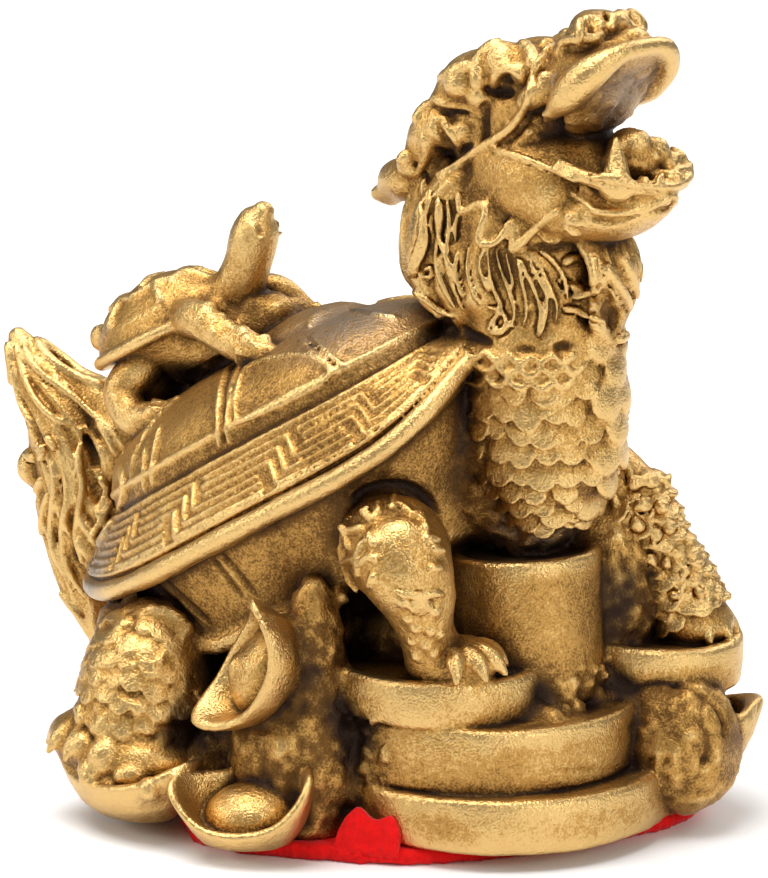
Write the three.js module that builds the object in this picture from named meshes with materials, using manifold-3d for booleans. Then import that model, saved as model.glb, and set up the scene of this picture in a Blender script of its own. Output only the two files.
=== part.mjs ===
// A small cast brass dragon turtle on coins and ingots, with the red felt pad glued under it.
// Millimetres, +Z up, the animal faces +X, and its left side is +Y.
// The origin is on the pad's underside, below the middle of the lowest coin's stack.
import * as THREE from 'three';
import { mergeVertices } from 'three/addons/utils/BufferGeometryUtils.js';
import Module from 'manifold-3d';

const wasm = await Module();
wasm.setup();

// Sizes of the pad and the coins. Places on the pad are drawn as the figure is, because they carry its feet.
const FELT_THICKNESS = 1.2;
const BOTTOM_COIN = { x: 7.0, y: 0.0, radius: 12.3, thickness: 3.9 };
const MIDDLE_COIN = { x: 5.7, y: 0.0, radius: 11.6, thickness: 4.6 };
const TOP_COIN = { x: 4.8, y: -4.5, radius: 7.8, thickness: 3.2 };
const DRUM_COIN = { x: 9.5, y: 0.0, radius: 5.35, thickness: 10.5, tilt: -3 };
const SIDE_COIN = { x: 15.0, y: 8.4, radius: 6.3, thickness: 3.5, tilt: 2 };
const COIN_SIDES = 20;
const COIN_LIP_WIDTH = 0.9;
const COIN_LIP_DEPTH = 0.35;

// Sizes of the ingots: length between the tips, width, height of the tips, height of the waist
const LOW_INGOT = { length: 10.4, width: 7.0, tip: 5.6, waist: 3.6 };
const UPRIGHT_INGOT = { length: 10.6, width: 6.6, tip: 5.2, waist: 3.2 };
const FRONT_INGOT = { length: 16.5, width: 10.5, tip: 7.6, waist: 6.2 };
const REAR_INGOT = { length: 13.8, width: 7.8, tip: 5.0, waist: 3.6 };
const INGOT_SIDES = 10;
const KEEL_SUNK = 0.2;

// The figure's pose and carving are shares of its own length, drawn at this many millimetres
const FIGURE_LENGTH = 59.6;
const DRAWN_LENGTH = 59.6;
const DRAWN_STAND = 12.9;
const HEAD_TURN = THREE.MathUtils.degToRad(-12);
const HEAD_AXIS_X = 10;

// The shell, in a frame that rises towards the head
const SHELL_TILT = THREE.MathUtils.degToRad(30);
const SHELL_CENTRE = { x: -8.5, z: 24.5 };
const SHELL_HALF_LENGTH = 20;
const SHELL_HALF_WIDTH = 14.5;
const RIM_THICKNESS = 1.5;
const RIM_WIDTH = 0.5;
const RIM_CROWN = 0.3;
const WALL_INSET = 2.2;
const WALL_DROP = 0.9;
const FRET_UNITS = 10;
const RIB_HEIGHT = 0.5;
const RIB_SPREAD = THREE.MathUtils.degToRad(2.4);

const stackTop = FELT_THICKNESS + BOTTOM_COIN.thickness + MIDDLE_COIN.thickness + TOP_COIN.thickness;
const middleTop = stackTop - TOP_COIN.thickness;
const share = FIGURE_LENGTH / DRAWN_LENGTH;

// A place on the figure, from its drawn coordinates
function at(x, y, z) {
  return new THREE.Vector3(x * share, y * share, stackTop + (z - DRAWN_STAND) * share);
}

// A place on the head, which is turned a little towards the animal's right
function onHead(x, y, z) {
  const along = x - HEAD_AXIS_X;
  const cos = Math.cos(HEAD_TURN);
  const sin = Math.sin(HEAD_TURN);
  return at(HEAD_AXIS_X + cos * along - sin * y, sin * along + cos * y, z);
}

// A place on the shell: u towards the head, v to the left, w out of the shell's plane
function onShell(u, v, w) {
  const cos = Math.cos(SHELL_TILT);
  const sin = Math.sin(SHELL_TILT);
  return at(SHELL_CENTRE.x + u * cos - w * sin, v, SHELL_CENTRE.z + u * sin + w * cos);
}

// Joins and cuts
function solidOf(geometry) {
  const bare = geometry.clone();
  for (const name of Object.keys(bare.attributes)) {
    if (name !== 'position') bare.deleteAttribute(name);
  }
  const merged = mergeVertices(bare, 1e-4);
  const kept = [];
  const index = merged.index.array;
  for (let i = 0; i < index.length; i += 3) {
    const [a, b, c] = [index[i], index[i + 1], index[i + 2]];
    if (a !== b && b !== c && c !== a) kept.push(a, b, c);
  }
  const mesh = new wasm.Mesh({
    numProp: 3,
    vertProperties: new Float32Array(merged.attributes.position.array),
    triVerts: new Uint32Array(kept),
  });
  return new wasm.Manifold(mesh);
}

function joined(solids) {
  return solids.reduce((whole, solid) => whole.add(solid));
}

function geometryOf(solid) {
  const mesh = solid.getMesh();
  const geometry = new THREE.BufferGeometry();
  geometry.setAttribute('position', new THREE.BufferAttribute(new Float32Array(mesh.vertProperties), 3));
  geometry.setIndex(new THREE.BufferAttribute(new Uint32Array(mesh.triVerts), 1));
  geometry.computeVertexNormals();
  return geometry;
}

// The brass is solid inside: a shell whose faces look inwards is a hollow that nothing reaches
function filled(geometry) {
  const positions = geometry.attributes.position;
  const index = geometry.index.array;
  const parent = Array.from({ length: positions.count }, (_, i) => i);
  const rootOf = (i) => {
    let root = i;
    while (parent[root] !== root) root = parent[root];
    parent[i] = root;
    return root;
  };
  for (let i = 0; i < index.length; i += 3) {
    parent[rootOf(index[i])] = rootOf(index[i + 1]);
    parent[rootOf(index[i + 1])] = rootOf(index[i + 2]);
  }
  const volumes = new Map();
  const [a, b, c] = [new THREE.Vector3(), new THREE.Vector3(), new THREE.Vector3()];
  for (let i = 0; i < index.length; i += 3) {
    a.fromBufferAttribute(positions, index[i]);
    b.fromBufferAttribute(positions, index[i + 1]);
    c.fromBufferAttribute(positions, index[i + 2]);
    const root = rootOf(index[i]);
    volumes.set(root, (volumes.get(root) ?? 0) + a.dot(b.cross(c)) / 6);
  }
  const kept = [];
  for (let i = 0; i < index.length; i += 3) {
    if (volumes.get(rootOf(index[i])) > 0) kept.push(index[i], index[i + 1], index[i + 2]);
  }
  geometry.setIndex(kept);
  return geometry;
}

// A closed skin over rings of points, each ring counter-clockwise seen from the far end
function skin(rings, startCentre, endCentre) {
  const count = rings[0].length;
  const points = [startCentre, ...rings.flat(), endCentre];
  const last = points.length - 1;
  const vertex = (ring, i) => 1 + ring * count + (i % count);
  const index = [];
  for (let i = 0; i < count; i += 1) {
    index.push(0, vertex(0, i + 1), vertex(0, i));
    index.push(last, vertex(rings.length - 1, i), vertex(rings.length - 1, i + 1));
  }
  for (let ring = 0; ring < rings.length - 1; ring += 1) {
    for (let i = 0; i < count; i += 1) {
      index.push(vertex(ring, i), vertex(ring, i + 1), vertex(ring + 1, i + 1));
      index.push(vertex(ring, i), vertex(ring + 1, i + 1), vertex(ring + 1, i));
    }
  }
  const geometry = new THREE.BufferGeometry().setFromPoints(points);
  geometry.setIndex(index);
  return solidOf(geometry);
}

// A limb, lock or strand along a curve. Each stop is [place, half width, half depth].
function limb(stops, { sides = 8, steps = 8, side = new THREE.Vector3(0, 1, 0), relief = null } = {}) {
  const spine = new THREE.CatmullRomCurve3(stops.map((stop) => stop[0]), false, 'centripetal');
  const sizes = stops.map(([, width, depth]) => new THREE.Vector3(width, depth ?? width, 0));
  const girth = new THREE.CatmullRomCurve3(sizes, false, 'catmullrom', 0.5);
  const rings = [];
  for (let step = 0; step <= steps; step += 1) {
    const t = step / steps;
    const centre = spine.getPoint(t);
    const tangent = spine.getTangent(t);
    const across = side.clone().addScaledVector(tangent, -side.dot(tangent)).normalize();
    const deep = tangent.clone().cross(across);
    const size = girth.getPoint(t).multiplyScalar(share);
    const ring = [];
    for (let i = 0; i < sides; i += 1) {
      const angle = (i / sides) * Math.PI * 2;
      const swell = relief ? relief(step, i, t) : 1;
      ring.push(centre.clone()
        .addScaledVector(across, size.x * swell * Math.cos(angle))
        .addScaledVector(deep, size.y * swell * Math.sin(angle)));
    }
    rings.push(ring);
  }
  return skin(rings, spine.getPoint(0), spine.getPoint(1));
}

// Overlapping scales on a limb: rows whose lower lips stand out, each row half a scale round
function scaleRows(depth) {
  return (step, i) => {
    const row = Math.floor(step / 2);
    const atLip = step % 2 === 1;
    const atMiddle = (i + row) % 2 === 0;
    if (atLip) return atMiddle ? 1 + depth : 1 - depth * 0.2;
    return atMiddle ? 1 - depth * 0.5 : 1 - depth;
  };
}

// A rounded lump with half sizes along its own axes, turned about Y by pitch and then Z by yaw
function lump(centre, [a, b, c], { pitch = 0, yaw = 0, roll = 0, sides = 10, rows = 6 } = {}) {
  const ball = new THREE.SphereGeometry(1, sides, rows);
  const turn = new THREE.Euler(
    THREE.MathUtils.degToRad(roll), THREE.MathUtils.degToRad(pitch), THREE.MathUtils.degToRad(yaw), 'ZYX');
  ball.scale(a * share, b * share, c * share);
  ball.applyMatrix4(new THREE.Matrix4().makeRotationFromEuler(turn));
  ball.translate(centre.x, centre.y, centre.z);
  return solidOf(ball);
}

// A raised line on a surface through places that lie on it, standing out along the given normals
function ridge(places, normals, { width, height, sunk }) {
  const rings = places.map((place, i) => {
    const before = places[Math.max(i - 1, 0)];
    const after = places[Math.min(i + 1, places.length - 1)];
    const tangent = after.clone().sub(before).normalize();
    const out = normals[i].clone().normalize();
    const across = out.clone().cross(tangent).normalize();
    const corner = (sideways, outwards) => place.clone()
      .addScaledVector(across, sideways * share)
      .addScaledVector(out, outwards * share);
    return [corner(0, height), corner(-width, -sunk), corner(width, -sunk)];
  });
  return skin(rings, midpoint(rings[0]), midpoint(rings[rings.length - 1]));
}

function midpoint(points) {
  const sum = points.reduce((total, point) => total.add(point), new THREE.Vector3());
  return sum.divideScalar(points.length);
}

// Coins
function coin({ x, y, radius, thickness, tilt = 0 }, bottom, lip = true) {
  const edge = radius - COIN_LIP_WIDTH;
  const sunkTop = thickness - (lip ? COIN_LIP_DEPTH : 0);
  const outline = [
    new THREE.Vector2(0, 0),
    new THREE.Vector2(radius, 0),
    new THREE.Vector2(radius, thickness),
    ...(lip ? [new THREE.Vector2(edge, thickness), new THREE.Vector2(edge, sunkTop)] : []),
    new THREE.Vector2(0, sunkTop),
  ];
  const geometry = new THREE.LatheGeometry(outline, COIN_SIDES);
  geometry.rotateX(Math.PI / 2);
  geometry.rotateY(THREE.MathUtils.degToRad(tilt));
  geometry.translate(x * share, y * share, bottom);
  return solidOf(geometry);
}

function coins() {
  const bottomCoin = FELT_THICKNESS;
  const middleCoin = bottomCoin + BOTTOM_COIN.thickness;
  return [
    coin(BOTTOM_COIN, bottomCoin, false),
    coin(MIDDLE_COIN, middleCoin, false),
    coin(TOP_COIN, middleTop),
    coin(DRUM_COIN, middleTop),
    coin(SIDE_COIN, middleTop),
  ];
}

// An ingot is a boat with raised tips and an egg in its hollow.
// Its long axis and its opening are given as directions, and the middle of its keel as a place.
function ingot({ length, width, tip, waist }, keel, longAxis, opening) {
  const outline = (a, b, height) => {
    const ring = [];
    for (let i = 0; i < INGOT_SIDES; i += 1) {
      const angle = (i / INGOT_SIDES) * Math.PI * 2;
      const rise = (tip - waist) * Math.abs(Math.cos(angle)) ** 3;
      ring.push(new THREE.Vector3(
        a * (length / 2) * Math.cos(angle), b * (width / 2) * Math.sin(angle), height(rise)));
    }
    return ring;
  };
  const rings = [
    outline(0.48, 0.45, () => 0),
    outline(0.8, 0.88, (rise) => waist * 0.42 + rise * 0.3),
    outline(1, 1, (rise) => waist + rise),
    outline(0.84, 0.82, (rise) => waist + rise * 0.7),
    outline(0.56, 0.66, () => waist * 0.66),
    outline(0.34, 0.48, () => waist * 1.15),
  ];
  const boat = skin(rings, new THREE.Vector3(0, 0, 0), new THREE.Vector3(0, 0, waist * 1.36));
  const up = opening.clone().normalize();
  const along = longAxis.clone().addScaledVector(up, -up.dot(longAxis)).normalize();
  const across = up.clone().cross(along);
  const place = new THREE.Matrix4().makeBasis(along, across, up).setPosition(keel);
  return boat.transform(place.elements);
}

function ingots() {
  const onPad = (x, y) => new THREE.Vector3(x * share, y * share, FELT_THICKNESS - KEEL_SUNK);
  const facing = (x, y, z) => new THREE.Vector3(x, y, z);
  return [
    ingot(LOW_INGOT, onPad(-3.9, -14.6), facing(0.95, 0.3, 0.08), facing(0.06, -0.5, 0.86)),
    ingot(UPRIGHT_INGOT, at(-3.4, -12.4, 12.2), facing(0.42, 0.22, 0.88), facing(-0.62, -0.74, 0.28)),
    ingot(FRONT_INGOT, onPad(15.6, 6.4), facing(0.87, 0.5, 0), facing(0, 0, 1)),
    ingot(REAR_INGOT, onPad(-14.0, -13.9), facing(0.94, -0.34, 0), facing(-0.1, -0.14, 0.98)),
    ingot(REAR_INGOT, onPad(-14.6, 12.4), facing(0.96, 0.28, 0), facing(-0.1, 0.1, 0.98)),
    ingot(LOW_INGOT, onPad(-2.6, 12.6), facing(0.97, -0.2, 0), facing(0, 0.3, 0.95)),
  ];
}

// The rough mass that joins coins, ingots and belly
function mound() {
  return [
    lump(at(-6, 0, 4), [10.5, 12, 9.2], { sides: 8, rows: 5 }),
    lump(at(-3, -10.5, 5), [5, 5, 8.5], { sides: 6, rows: 4 }),
    lump(at(-12, 0, 4), [7, 14.5, 6], { sides: 8, rows: 4 }),
    lump(at(-17.6, 0, 12.6), [4.4, 13, 4.4], { sides: 6, rows: 4 }),
    lump(at(13.5, 3.6, 7), [4, 5, 4.6], { sides: 6, rows: 4 }),
    lump(at(1.5, 0.5, 13), [6.5, 7, 6.5], { sides: 7, rows: 4 }),
    lump(at(11.8, 6, 16.2), [4.6, 4.2, 7.2], { sides: 6, rows: 4 }),
  ];
}

// The rim of the shell is egg-shaped, low at the flanks and raised at its two ends
const REAR_LIFT = 3.3;
const FRONT_LIFT = 5.4;
const FLANK_DROP = -2.7;

function rimPlace(turn, inset = 0, lift = 0) {
  const cos = -Math.cos(turn);
  const sin = Math.sin(turn);
  const fullness = cos > 0 ? 2.5 : 2.1;
  const power = 2 / fullness;
  const u = (SHELL_HALF_LENGTH - inset) * Math.sign(cos) * Math.abs(cos) ** power;
  const v = (SHELL_HALF_WIDTH - inset) * Math.sign(sin) * Math.abs(sin) ** power;
  const reach = Math.abs(u) / SHELL_HALF_LENGTH;
  const raised = u > 0 ? FRONT_LIFT * reach ** 6 : REAR_LIFT * reach ** 4;
  return { u, v, w: FLANK_DROP + raised + lift };
}

// The border line between the fret band and the dome
const BORDER_FRONT = 0.8;
const BORDER_REAR = 0.74;
const BORDER_WIDTH = 0.75;
const BORDER_LIFT = 5.3;
const BORDER_FOLLOW = 0.06;
const DOME_HEIGHT = 5.9;
const DOME_FULLNESS = 2.2;
const DOME_BACKSET = 1.2;

function domePlace(turn, inwards) {
  const rim = rimPlace(turn);
  const shrink = 1 - inwards;
  const u = rim.u * (rim.u > 0 ? BORDER_FRONT : BORDER_REAR) * shrink - inwards * DOME_BACKSET;
  const v = rim.v * BORDER_WIDTH * shrink;
  const foot = FLANK_DROP + BORDER_LIFT + (rim.w - FLANK_DROP) * BORDER_FOLLOW;
  const swell = (1 - shrink ** DOME_FULLNESS) ** (1 / DOME_FULLNESS);
  return { u, v, w: foot + DOME_HEIGHT * swell };
}

function shellPoint(place) {
  return onShell(place.u, place.v, place.w);
}

// The wall below the rim stands on a foot line that rises from the middle towards the neck
const FOOT_CENTRE_X = -7.4;
const FOOT_HALF_LENGTH = 14.4;
const FOOT_HALF_WIDTH = 10.8;
const FOOT_Z = 13.6;
const FOOT_SLOPE = 0.5;
const FOOT_BEND_X = -9.5;
const FOOT_POWER = 0.75;
const FOOT_TAPER = 0.035;

function footPlace(turn, shrink = 1) {
  const cos = -Math.cos(turn);
  const sin = Math.sin(turn);
  const x = FOOT_CENTRE_X + shrink * FOOT_HALF_LENGTH * Math.sign(cos) * Math.abs(cos) ** FOOT_POWER;
  const taper = x > 0 ? 1 - FOOT_TAPER * x : 1;
  const y = shrink * taper * FOOT_HALF_WIDTH * Math.sign(sin) * Math.abs(sin) ** FOOT_POWER;
  const ahead = Math.max(0, x - FOOT_BEND_X);
  return at(x, y, FOOT_Z + ahead * FOOT_SLOPE);
}

// A place between the rim and the border, from 0 at the rim to 1 at the border
function bandPoint(turn, inwards) {
  const low = shellPoint(rimPlace(turn, RIM_WIDTH, RIM_CROWN));
  const high = shellPoint(domePlace(turn, 0));
  return low.lerp(high, inwards);
}

// The outward direction of a surface that is given as a function of two numbers
function outwardOf(surface, a, b) {
  const small = 0.01;
  const alongA = surface(a + small, b).sub(surface(a - small, b));
  const alongB = surface(a, b + small).sub(surface(a, b - small));
  return alongB.cross(alongA).normalize();
}

function ridgeOn(surface, stops, options) {
  const places = stops.map(([a, b]) => surface(a, b));
  const normals = stops.map(([a, b]) => outwardOf(surface, a, b));
  return ridge(places, normals, options);
}

// Each unit of the fret is a square hook that turns in on itself
function fret() {
  const hook = [[0.1, 0.16], [0.1, 0.8], [0.78, 0.8], [0.78, 0.36], [0.45, 0.36]];
  const pitch = (Math.PI * 2) / FRET_UNITS;
  return Array.from({ length: FRET_UNITS }, (_, unit) => {
    const stops = hook.map(([along, across]) => [(unit + along) * pitch, across]);
    return ridgeOn(bandPoint, stops, { width: 0.5, height: 0.42, sunk: 0.35 });
  });
}

function domePoint(turn, inwards) {
  return shellPoint(domePlace(turn, inwards));
}

function wallPoint(turn, upwards) {
  return footPlace(turn).lerp(shellPoint(rimPlace(turn, WALL_INSET, -WALL_DROP)), upwards);
}

function rimPoint(turn, outwards) {
  return shellPoint(rimPlace(turn, RIM_WIDTH * (1 - outwards), RIM_CROWN - RIM_THICKNESS * outwards));
}

// Ribs part the dome into plates and the wall into panels, at these turns from the tail on each flank
const PLATE_TURNS = [26, 66, 106, 146].map((degrees) => THREE.MathUtils.degToRad(degrees));
const MIDDLE_ROW = 0.5;
const MIDDLE_ZIGZAG = 0.07;
const BELLY_SAG = 1.3;
const WALL_RIB = 0.35;

// The columns of the shell's skin: three for each rib, and one between each two ribs
function shellColumns() {
  const flank = PLATE_TURNS.flatMap((turn, i) => {
    const rib = [
      { turn: turn - RIB_SPREAD, rib: 0, zigzag: -1 },
      { turn, rib: 1, zigzag: -1 },
      { turn: turn + RIB_SPREAD, rib: 0, zigzag: -1 },
    ];
    const next = PLATE_TURNS[i + 1];
    return next ? [...rib, { turn: (turn + next) / 2, rib: 0, zigzag: 1 }] : rib;
  });
  const otherFlank = flank.map((column) => ({ ...column, turn: -column.turn })).reverse();
  const ends = (turn) => ({ turn, rib: 0, zigzag: 0 });
  return [...otherFlank, ends(0), ...flank, ends(Math.PI)].reverse();
}

function body() {
  const columns = shellColumns();
  const row = (surface, level, lift = 0, ribLift = 0) => columns.map(({ turn, rib, zigzag }) => {
    const place = typeof level === 'function' ? level(zigzag) : level;
    const height = (lift + rib * ribLift) * share;
    return surface(turn, place).addScaledVector(outwardOf(surface, turn, place), height);
  });
  const middle = (inwards) => (zigzag) => inwards + MIDDLE_ZIGZAG * zigzag;
  const sag = new THREE.Vector3(0, 0, -BELLY_SAG * share);
  const belly = columns.map(({ turn }) => footPlace(turn, 0.6).add(sag));
  const rings = [
    belly,
    row(wallPoint, 0),
    row(wallPoint, 0.1, 0, WALL_RIB),
    row(wallPoint, 0.88, 0, WALL_RIB),
    row(wallPoint, 1),
    row(rimPoint, 1),
    row(rimPoint, 0),
    row(bandPoint, 0.12),
    row(bandPoint, 0.86),
    row(bandPoint, 0.92, RIB_HEIGHT),
    row(bandPoint, 0.99, RIB_HEIGHT),
    row(domePoint, 0.03, 0, RIB_HEIGHT),
    row(domePoint, 0.2, 0, RIB_HEIGHT),
    row(domePoint, middle(MIDDLE_ROW - 0.05), 0, RIB_HEIGHT),
    row(domePoint, middle(MIDDLE_ROW), RIB_HEIGHT),
    row(domePoint, middle(MIDDLE_ROW + 0.05)),
    row(domePoint, 0.78),
  ];
  return skin(rings, at(FOOT_CENTRE_X, 0, FOOT_Z).add(sag), domePoint(0, 1));
}

// Neck and legs
function neck() {
  const scales = scaleRows(0.1);
  const sides = 12;
  const front = Math.round(sides * 0.75);
  const relief = (step, i, t) => (Math.abs(i - front) < 1.5 || t > 0.85 ? 1 : scales(step, i, t));
  return [
    limb([
      [at(11.2, 0, 21.8), 1.0], [at(10.7, 0, 24), 4.1], [at(10.6, 0, 27.5), 5.5],
      [at(10.5, 0, 31), 5.7], [at(10.4, 0, 34.5), 5.6], [at(10.3, 0, 38), 5.2], [at(10.5, 0, 42), 5],
    ], { sides, steps: 12, relief }),
    lump(at(6, 0, 28.5), [6, 5.4, 8.5], { sides: 8, rows: 6 }),
  ];
}

// Toes fan out from a foot's middle, each one an arched claw
function claws(centre, heading, spread, count, size) {
  return Array.from({ length: count }, (_, i) => {
    const turn = heading + spread * (i / (count - 1) - 0.5);
    const direction = new THREE.Vector3(Math.cos(turn), Math.sin(turn), 0);
    const reach = (distance, lift) => centre.clone()
      .addScaledVector(direction, distance * size * share)
      .add(new THREE.Vector3(0, 0, lift * size * share));
    return limb([
      [reach(0.3, 0.05), 0.32 * size], [reach(0.95, 0.34), 0.36 * size],
      [reach(1.5, 0.1), 0.26 * size], [reach(1.85, -0.28), 0.07 * size],
    ], { sides: 4, steps: 2 });
  });
}

function nearForeleg() {
  const tuft = limb([
    [at(2.2, -11.2, 22.8), 1.5], [at(1.6, -12, 20.8), 1.4],
    [at(2.5, -12.1, 19), 1], [at(3.4, -12, 17.6), 0.2],
  ], { sides: 5, steps: 4 });
  const arch = limb([
    [at(0.9, -12.4, 22.2), 0.7], [at(1.8, -12.6, 23.8), 0.9], [at(3.6, -12.4, 25), 1.0],
    [at(5.8, -11.6, 25.1), 1.0], [at(7.6, -10.6, 24.2), 0.8], [at(8.6, -9.6, 22.4), 0.3],
  ], { sides: 4, steps: 5 });
  return [
    limb([
      [at(3.4, -8.4, 21.6), 3.1], [at(4.6, -10.2, 21.7), 3.5], [at(6, -11.3, 20.7), 3.6],
      [at(6.8, -11, 18.6), 2.8], [at(7.0, -10.3, 16.4), 2.2], [at(7.2, -9.2, 14.2), 2.3],
    ], { sides: 8, steps: 8, relief: scaleRows(0.05) }),
    lump(at(8, -8.2, 13.9), [3.6, 2.9, 1.9], { yaw: 8, sides: 8, rows: 5 }),
    arch, tuft,
    ...claws(at(8.4, -8.4, 13.9), THREE.MathUtils.degToRad(4), 1.5, 4, 2.1),
  ];
}

function farForeleg() {
  return [
    limb([
      [at(5.5, 7, 25.5), 3.4], [at(9.6, 7, 24.7), 3.3], [at(12.8, 7.6, 22.6), 3.1],
      [at(14.5, 8.2, 19.8), 2.7], [at(16, 8.8, 17), 2.8], [at(17.3, 9.2, 14.4), 3.0],
    ], { sides: 8, steps: 8, relief: scaleRows(0.09) }),
    lump(at(17.6, 9.3, 13.9), [3.2, 3.1, 1.9], { sides: 8, rows: 5 }),
    ...claws(at(17.5, 9.4, 13.6), THREE.MathUtils.degToRad(8), 1.7, 4, 1.9),
  ];
}

function rearLeg(mirror, scaleDepth, sides, steps, toes) {
  return [
    limb([
      [at(-13.8, mirror * 8.4, 13.8), 4.2], [at(-14.4, mirror * 10.2, 12), 5],
      [at(-14.9, mirror * 11.4, 9.2), 5.1], [at(-15.3, mirror * 12, 6), 4.5],
      [at(-15.6, mirror * 12.2, 3.6), 4.2],
    ], { sides, steps, relief: scaleRows(scaleDepth) }),
    lump(at(-17, mirror * 12.8, 4.8), [4.2, 3.6, 2.3], { yaw: mirror * -150, sides: 8, rows: 5 }),
    ...claws(at(-16.2, mirror * 12.8, 4.4), THREE.MathUtils.degToRad(mirror * 195), 1.5, toes, 2.4),
  ];
}

// The head
function mirrored(make) {
  return [make(1), make(-1)].flat();
}

function skull() {
  const small = { sides: 5, rows: 4 };
  return [
    lump(onHead(10.3, 0, 51), [4.6, 4.2, 5.2], { sides: 8, rows: 6 }),
    lump(onHead(5.2, 0, 49), [4.4, 3.4, 4.6], { sides: 8, rows: 5 }),
    lump(onHead(12, 0, 46.4), [6, 5.2, 4.2], { sides: 10, rows: 6 }),
    ...mirrored((side) => [
      lump(onHead(13, side * 4, 52.6), [2, 1, 1.1], { pitch: -30, ...small }),
      lump(onHead(13.1, side * 4.4, 51.1), [0.8, 0.7, 0.8], small),
    ]),
  ];
}

// The jaws gape, and the upper one has a rolled lip round its edge
const LIP_RADIUS = 0.85;

function lip(half) {
  const whole = [...half, ...half.slice(0, -1).reverse().map(([x, y, z]) => [x, -y, z])];
  const up = new THREE.Vector3(0, 0, 1);
  return limb(whole.map((point) => [onHead(...point), LIP_RADIUS]), { sides: 4, steps: 8, side: up });
}

function jaws() {
  const fang = (y, height) => limb(
    [[onHead(18.6, y, 45.6), 0.9], [onHead(18.8, y, 48), 0.6], [onHead(18.6, y, 45.6 + height), 0.1]],
    { sides: 5, steps: 2, side: new THREE.Vector3(1, 0, 0) });
  const ball = { sides: 6, rows: 4 };
  return [
    limb([
      [onHead(12.4, 0, 52.8), 3.6, 3.2], [onHead(14.9, 0, 54), 4.3, 2.5],
      [onHead(17, 0, 54.9), 4.1, 1.6], [onHead(18.4, 0, 55.5), 2.8, 0.9], [onHead(18.9, 0, 55.8), 1.2, 0.4],
    ], { sides: 8, steps: 5 }),
    lip([[14, -3.6, 51.6], [16.5, -4.2, 53.1], [18.1, -3.6, 54.8], [18.8, -1.9, 55.7], [19, 0, 55.8]]),
    lump(onHead(14.8, 0, 56.7), [1.9, 1.7, 1.6], ball),
    ...mirrored((side) => lump(onHead(15.6, side * 1.9, 56.5), [1.5, 1.3, 1.3], ball)),
    limb([
      [onHead(10.5, 0, 44.6), 4.6, 2.9], [onHead(14.5, 0, 44.6), 4.6, 2.4],
      [onHead(17.8, 0, 45.1), 3.8, 2.0], [onHead(20, 0, 46), 2.5, 1.4], [onHead(20.9, 0, 46.4), 1.1, 0.6],
    ], { sides: 8, steps: 5 }),
    lump(onHead(16.2, 0, 53.2), [4.2, 4.1, 1.4], { pitch: -62, sides: 8, rows: 4 }),
    lump(onHead(18.2, 0, 48.4), [2, 2, 2], { pitch: -20, ...ball }),
    fang(-2.7, 4.5),
  ];
}

function horns() {
  const lobes = (step, i, t) => 1 + 0.15 * Math.cos(t * Math.PI * 10);
  return mirrored((side) => limb([
    [onHead(12, side * 2.2, 54.4), 1.3], [onHead(9.6, side * 2.6, 54.3), 1.8],
    [onHead(6.8, side * 3, 52.9), 2.0], [onHead(4.7, side * 3.2, 50.6), 2.0],
    [onHead(2.9, side * 3.1, 48.2), 1.9], [onHead(0.7, side * 2.8, 46), 1.6],
    [onHead(-1.3, side * 2.4, 44.7), 1.3], [onHead(-2.6, side * 2.1, 44), 0.4],
  ], { sides: 5, steps: 10, relief: lobes }));
}

function whiskers() {
  const route = [
    [13.3, 3.4, 55.2], [13.1, 4.4, 53.6], [12.7, 5, 51.6], [10, 5.2, 49], [7.6, 5.2, 47.6], [5, 5, 46.4],
  ];
  return mirrored((side) => limb(
    route.map(([x, y, z]) => [onHead(x, side * y, z), 0.42]), { sides: 4, steps: 5 }));
}

// The mane is a skirt of hair round the back of the neck, pleated into waved locks
const MANE_LOCKS = 12;

function mane() {
  const rows = [
    { z: 36.2, reach: 7.7, pleat: 0.26, ragged: 1.6 }, { z: 38, reach: 8.0, pleat: 0.2, ragged: 0.9 },
    { z: 40.6, reach: 7.9, pleat: 0.15, ragged: 0.3 }, { z: 44, reach: 7.1, pleat: 0.13, ragged: 0 },
    { z: 47.4, reach: 5.4, pleat: 0.08, ragged: 0 },
  ];
  const rings = rows.map(({ z, reach, pleat, ragged }) => {
    const wave = 0.12 * Math.sin(z * 1.25);
    return Array.from({ length: MANE_LOCKS * 2 }, (_, i) => {
      const inGroove = i % 2;
      const turn = (i / (MANE_LOCKS * 2)) * Math.PI * 2 + wave;
      const radius = reach * (1 - pleat * inGroove);
      const height = z + ragged * (inGroove + 0.6 * Math.sin(i * 1.9));
      return onHead(8 + radius * Math.cos(turn), 0.85 * radius * Math.sin(turn), height);
    });
  });
  return skin(rings, onHead(8, 0, 39), onHead(7, 0, 49));
}

function ruff() {
  return limb([
    [onHead(14, 0.4, 43.8), 2.6, 1], [onHead(16, 0.6, 41.4), 3.4, 1], [onHead(16.2, 0.8, 38.8), 3.2, 0.9],
    [onHead(15.6, 1, 36.8), 2.2, 0.8], [onHead(15.8, 1.2, 35.6), 0.7, 0.4],
  ], { sides: 8, steps: 5 });
}

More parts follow.
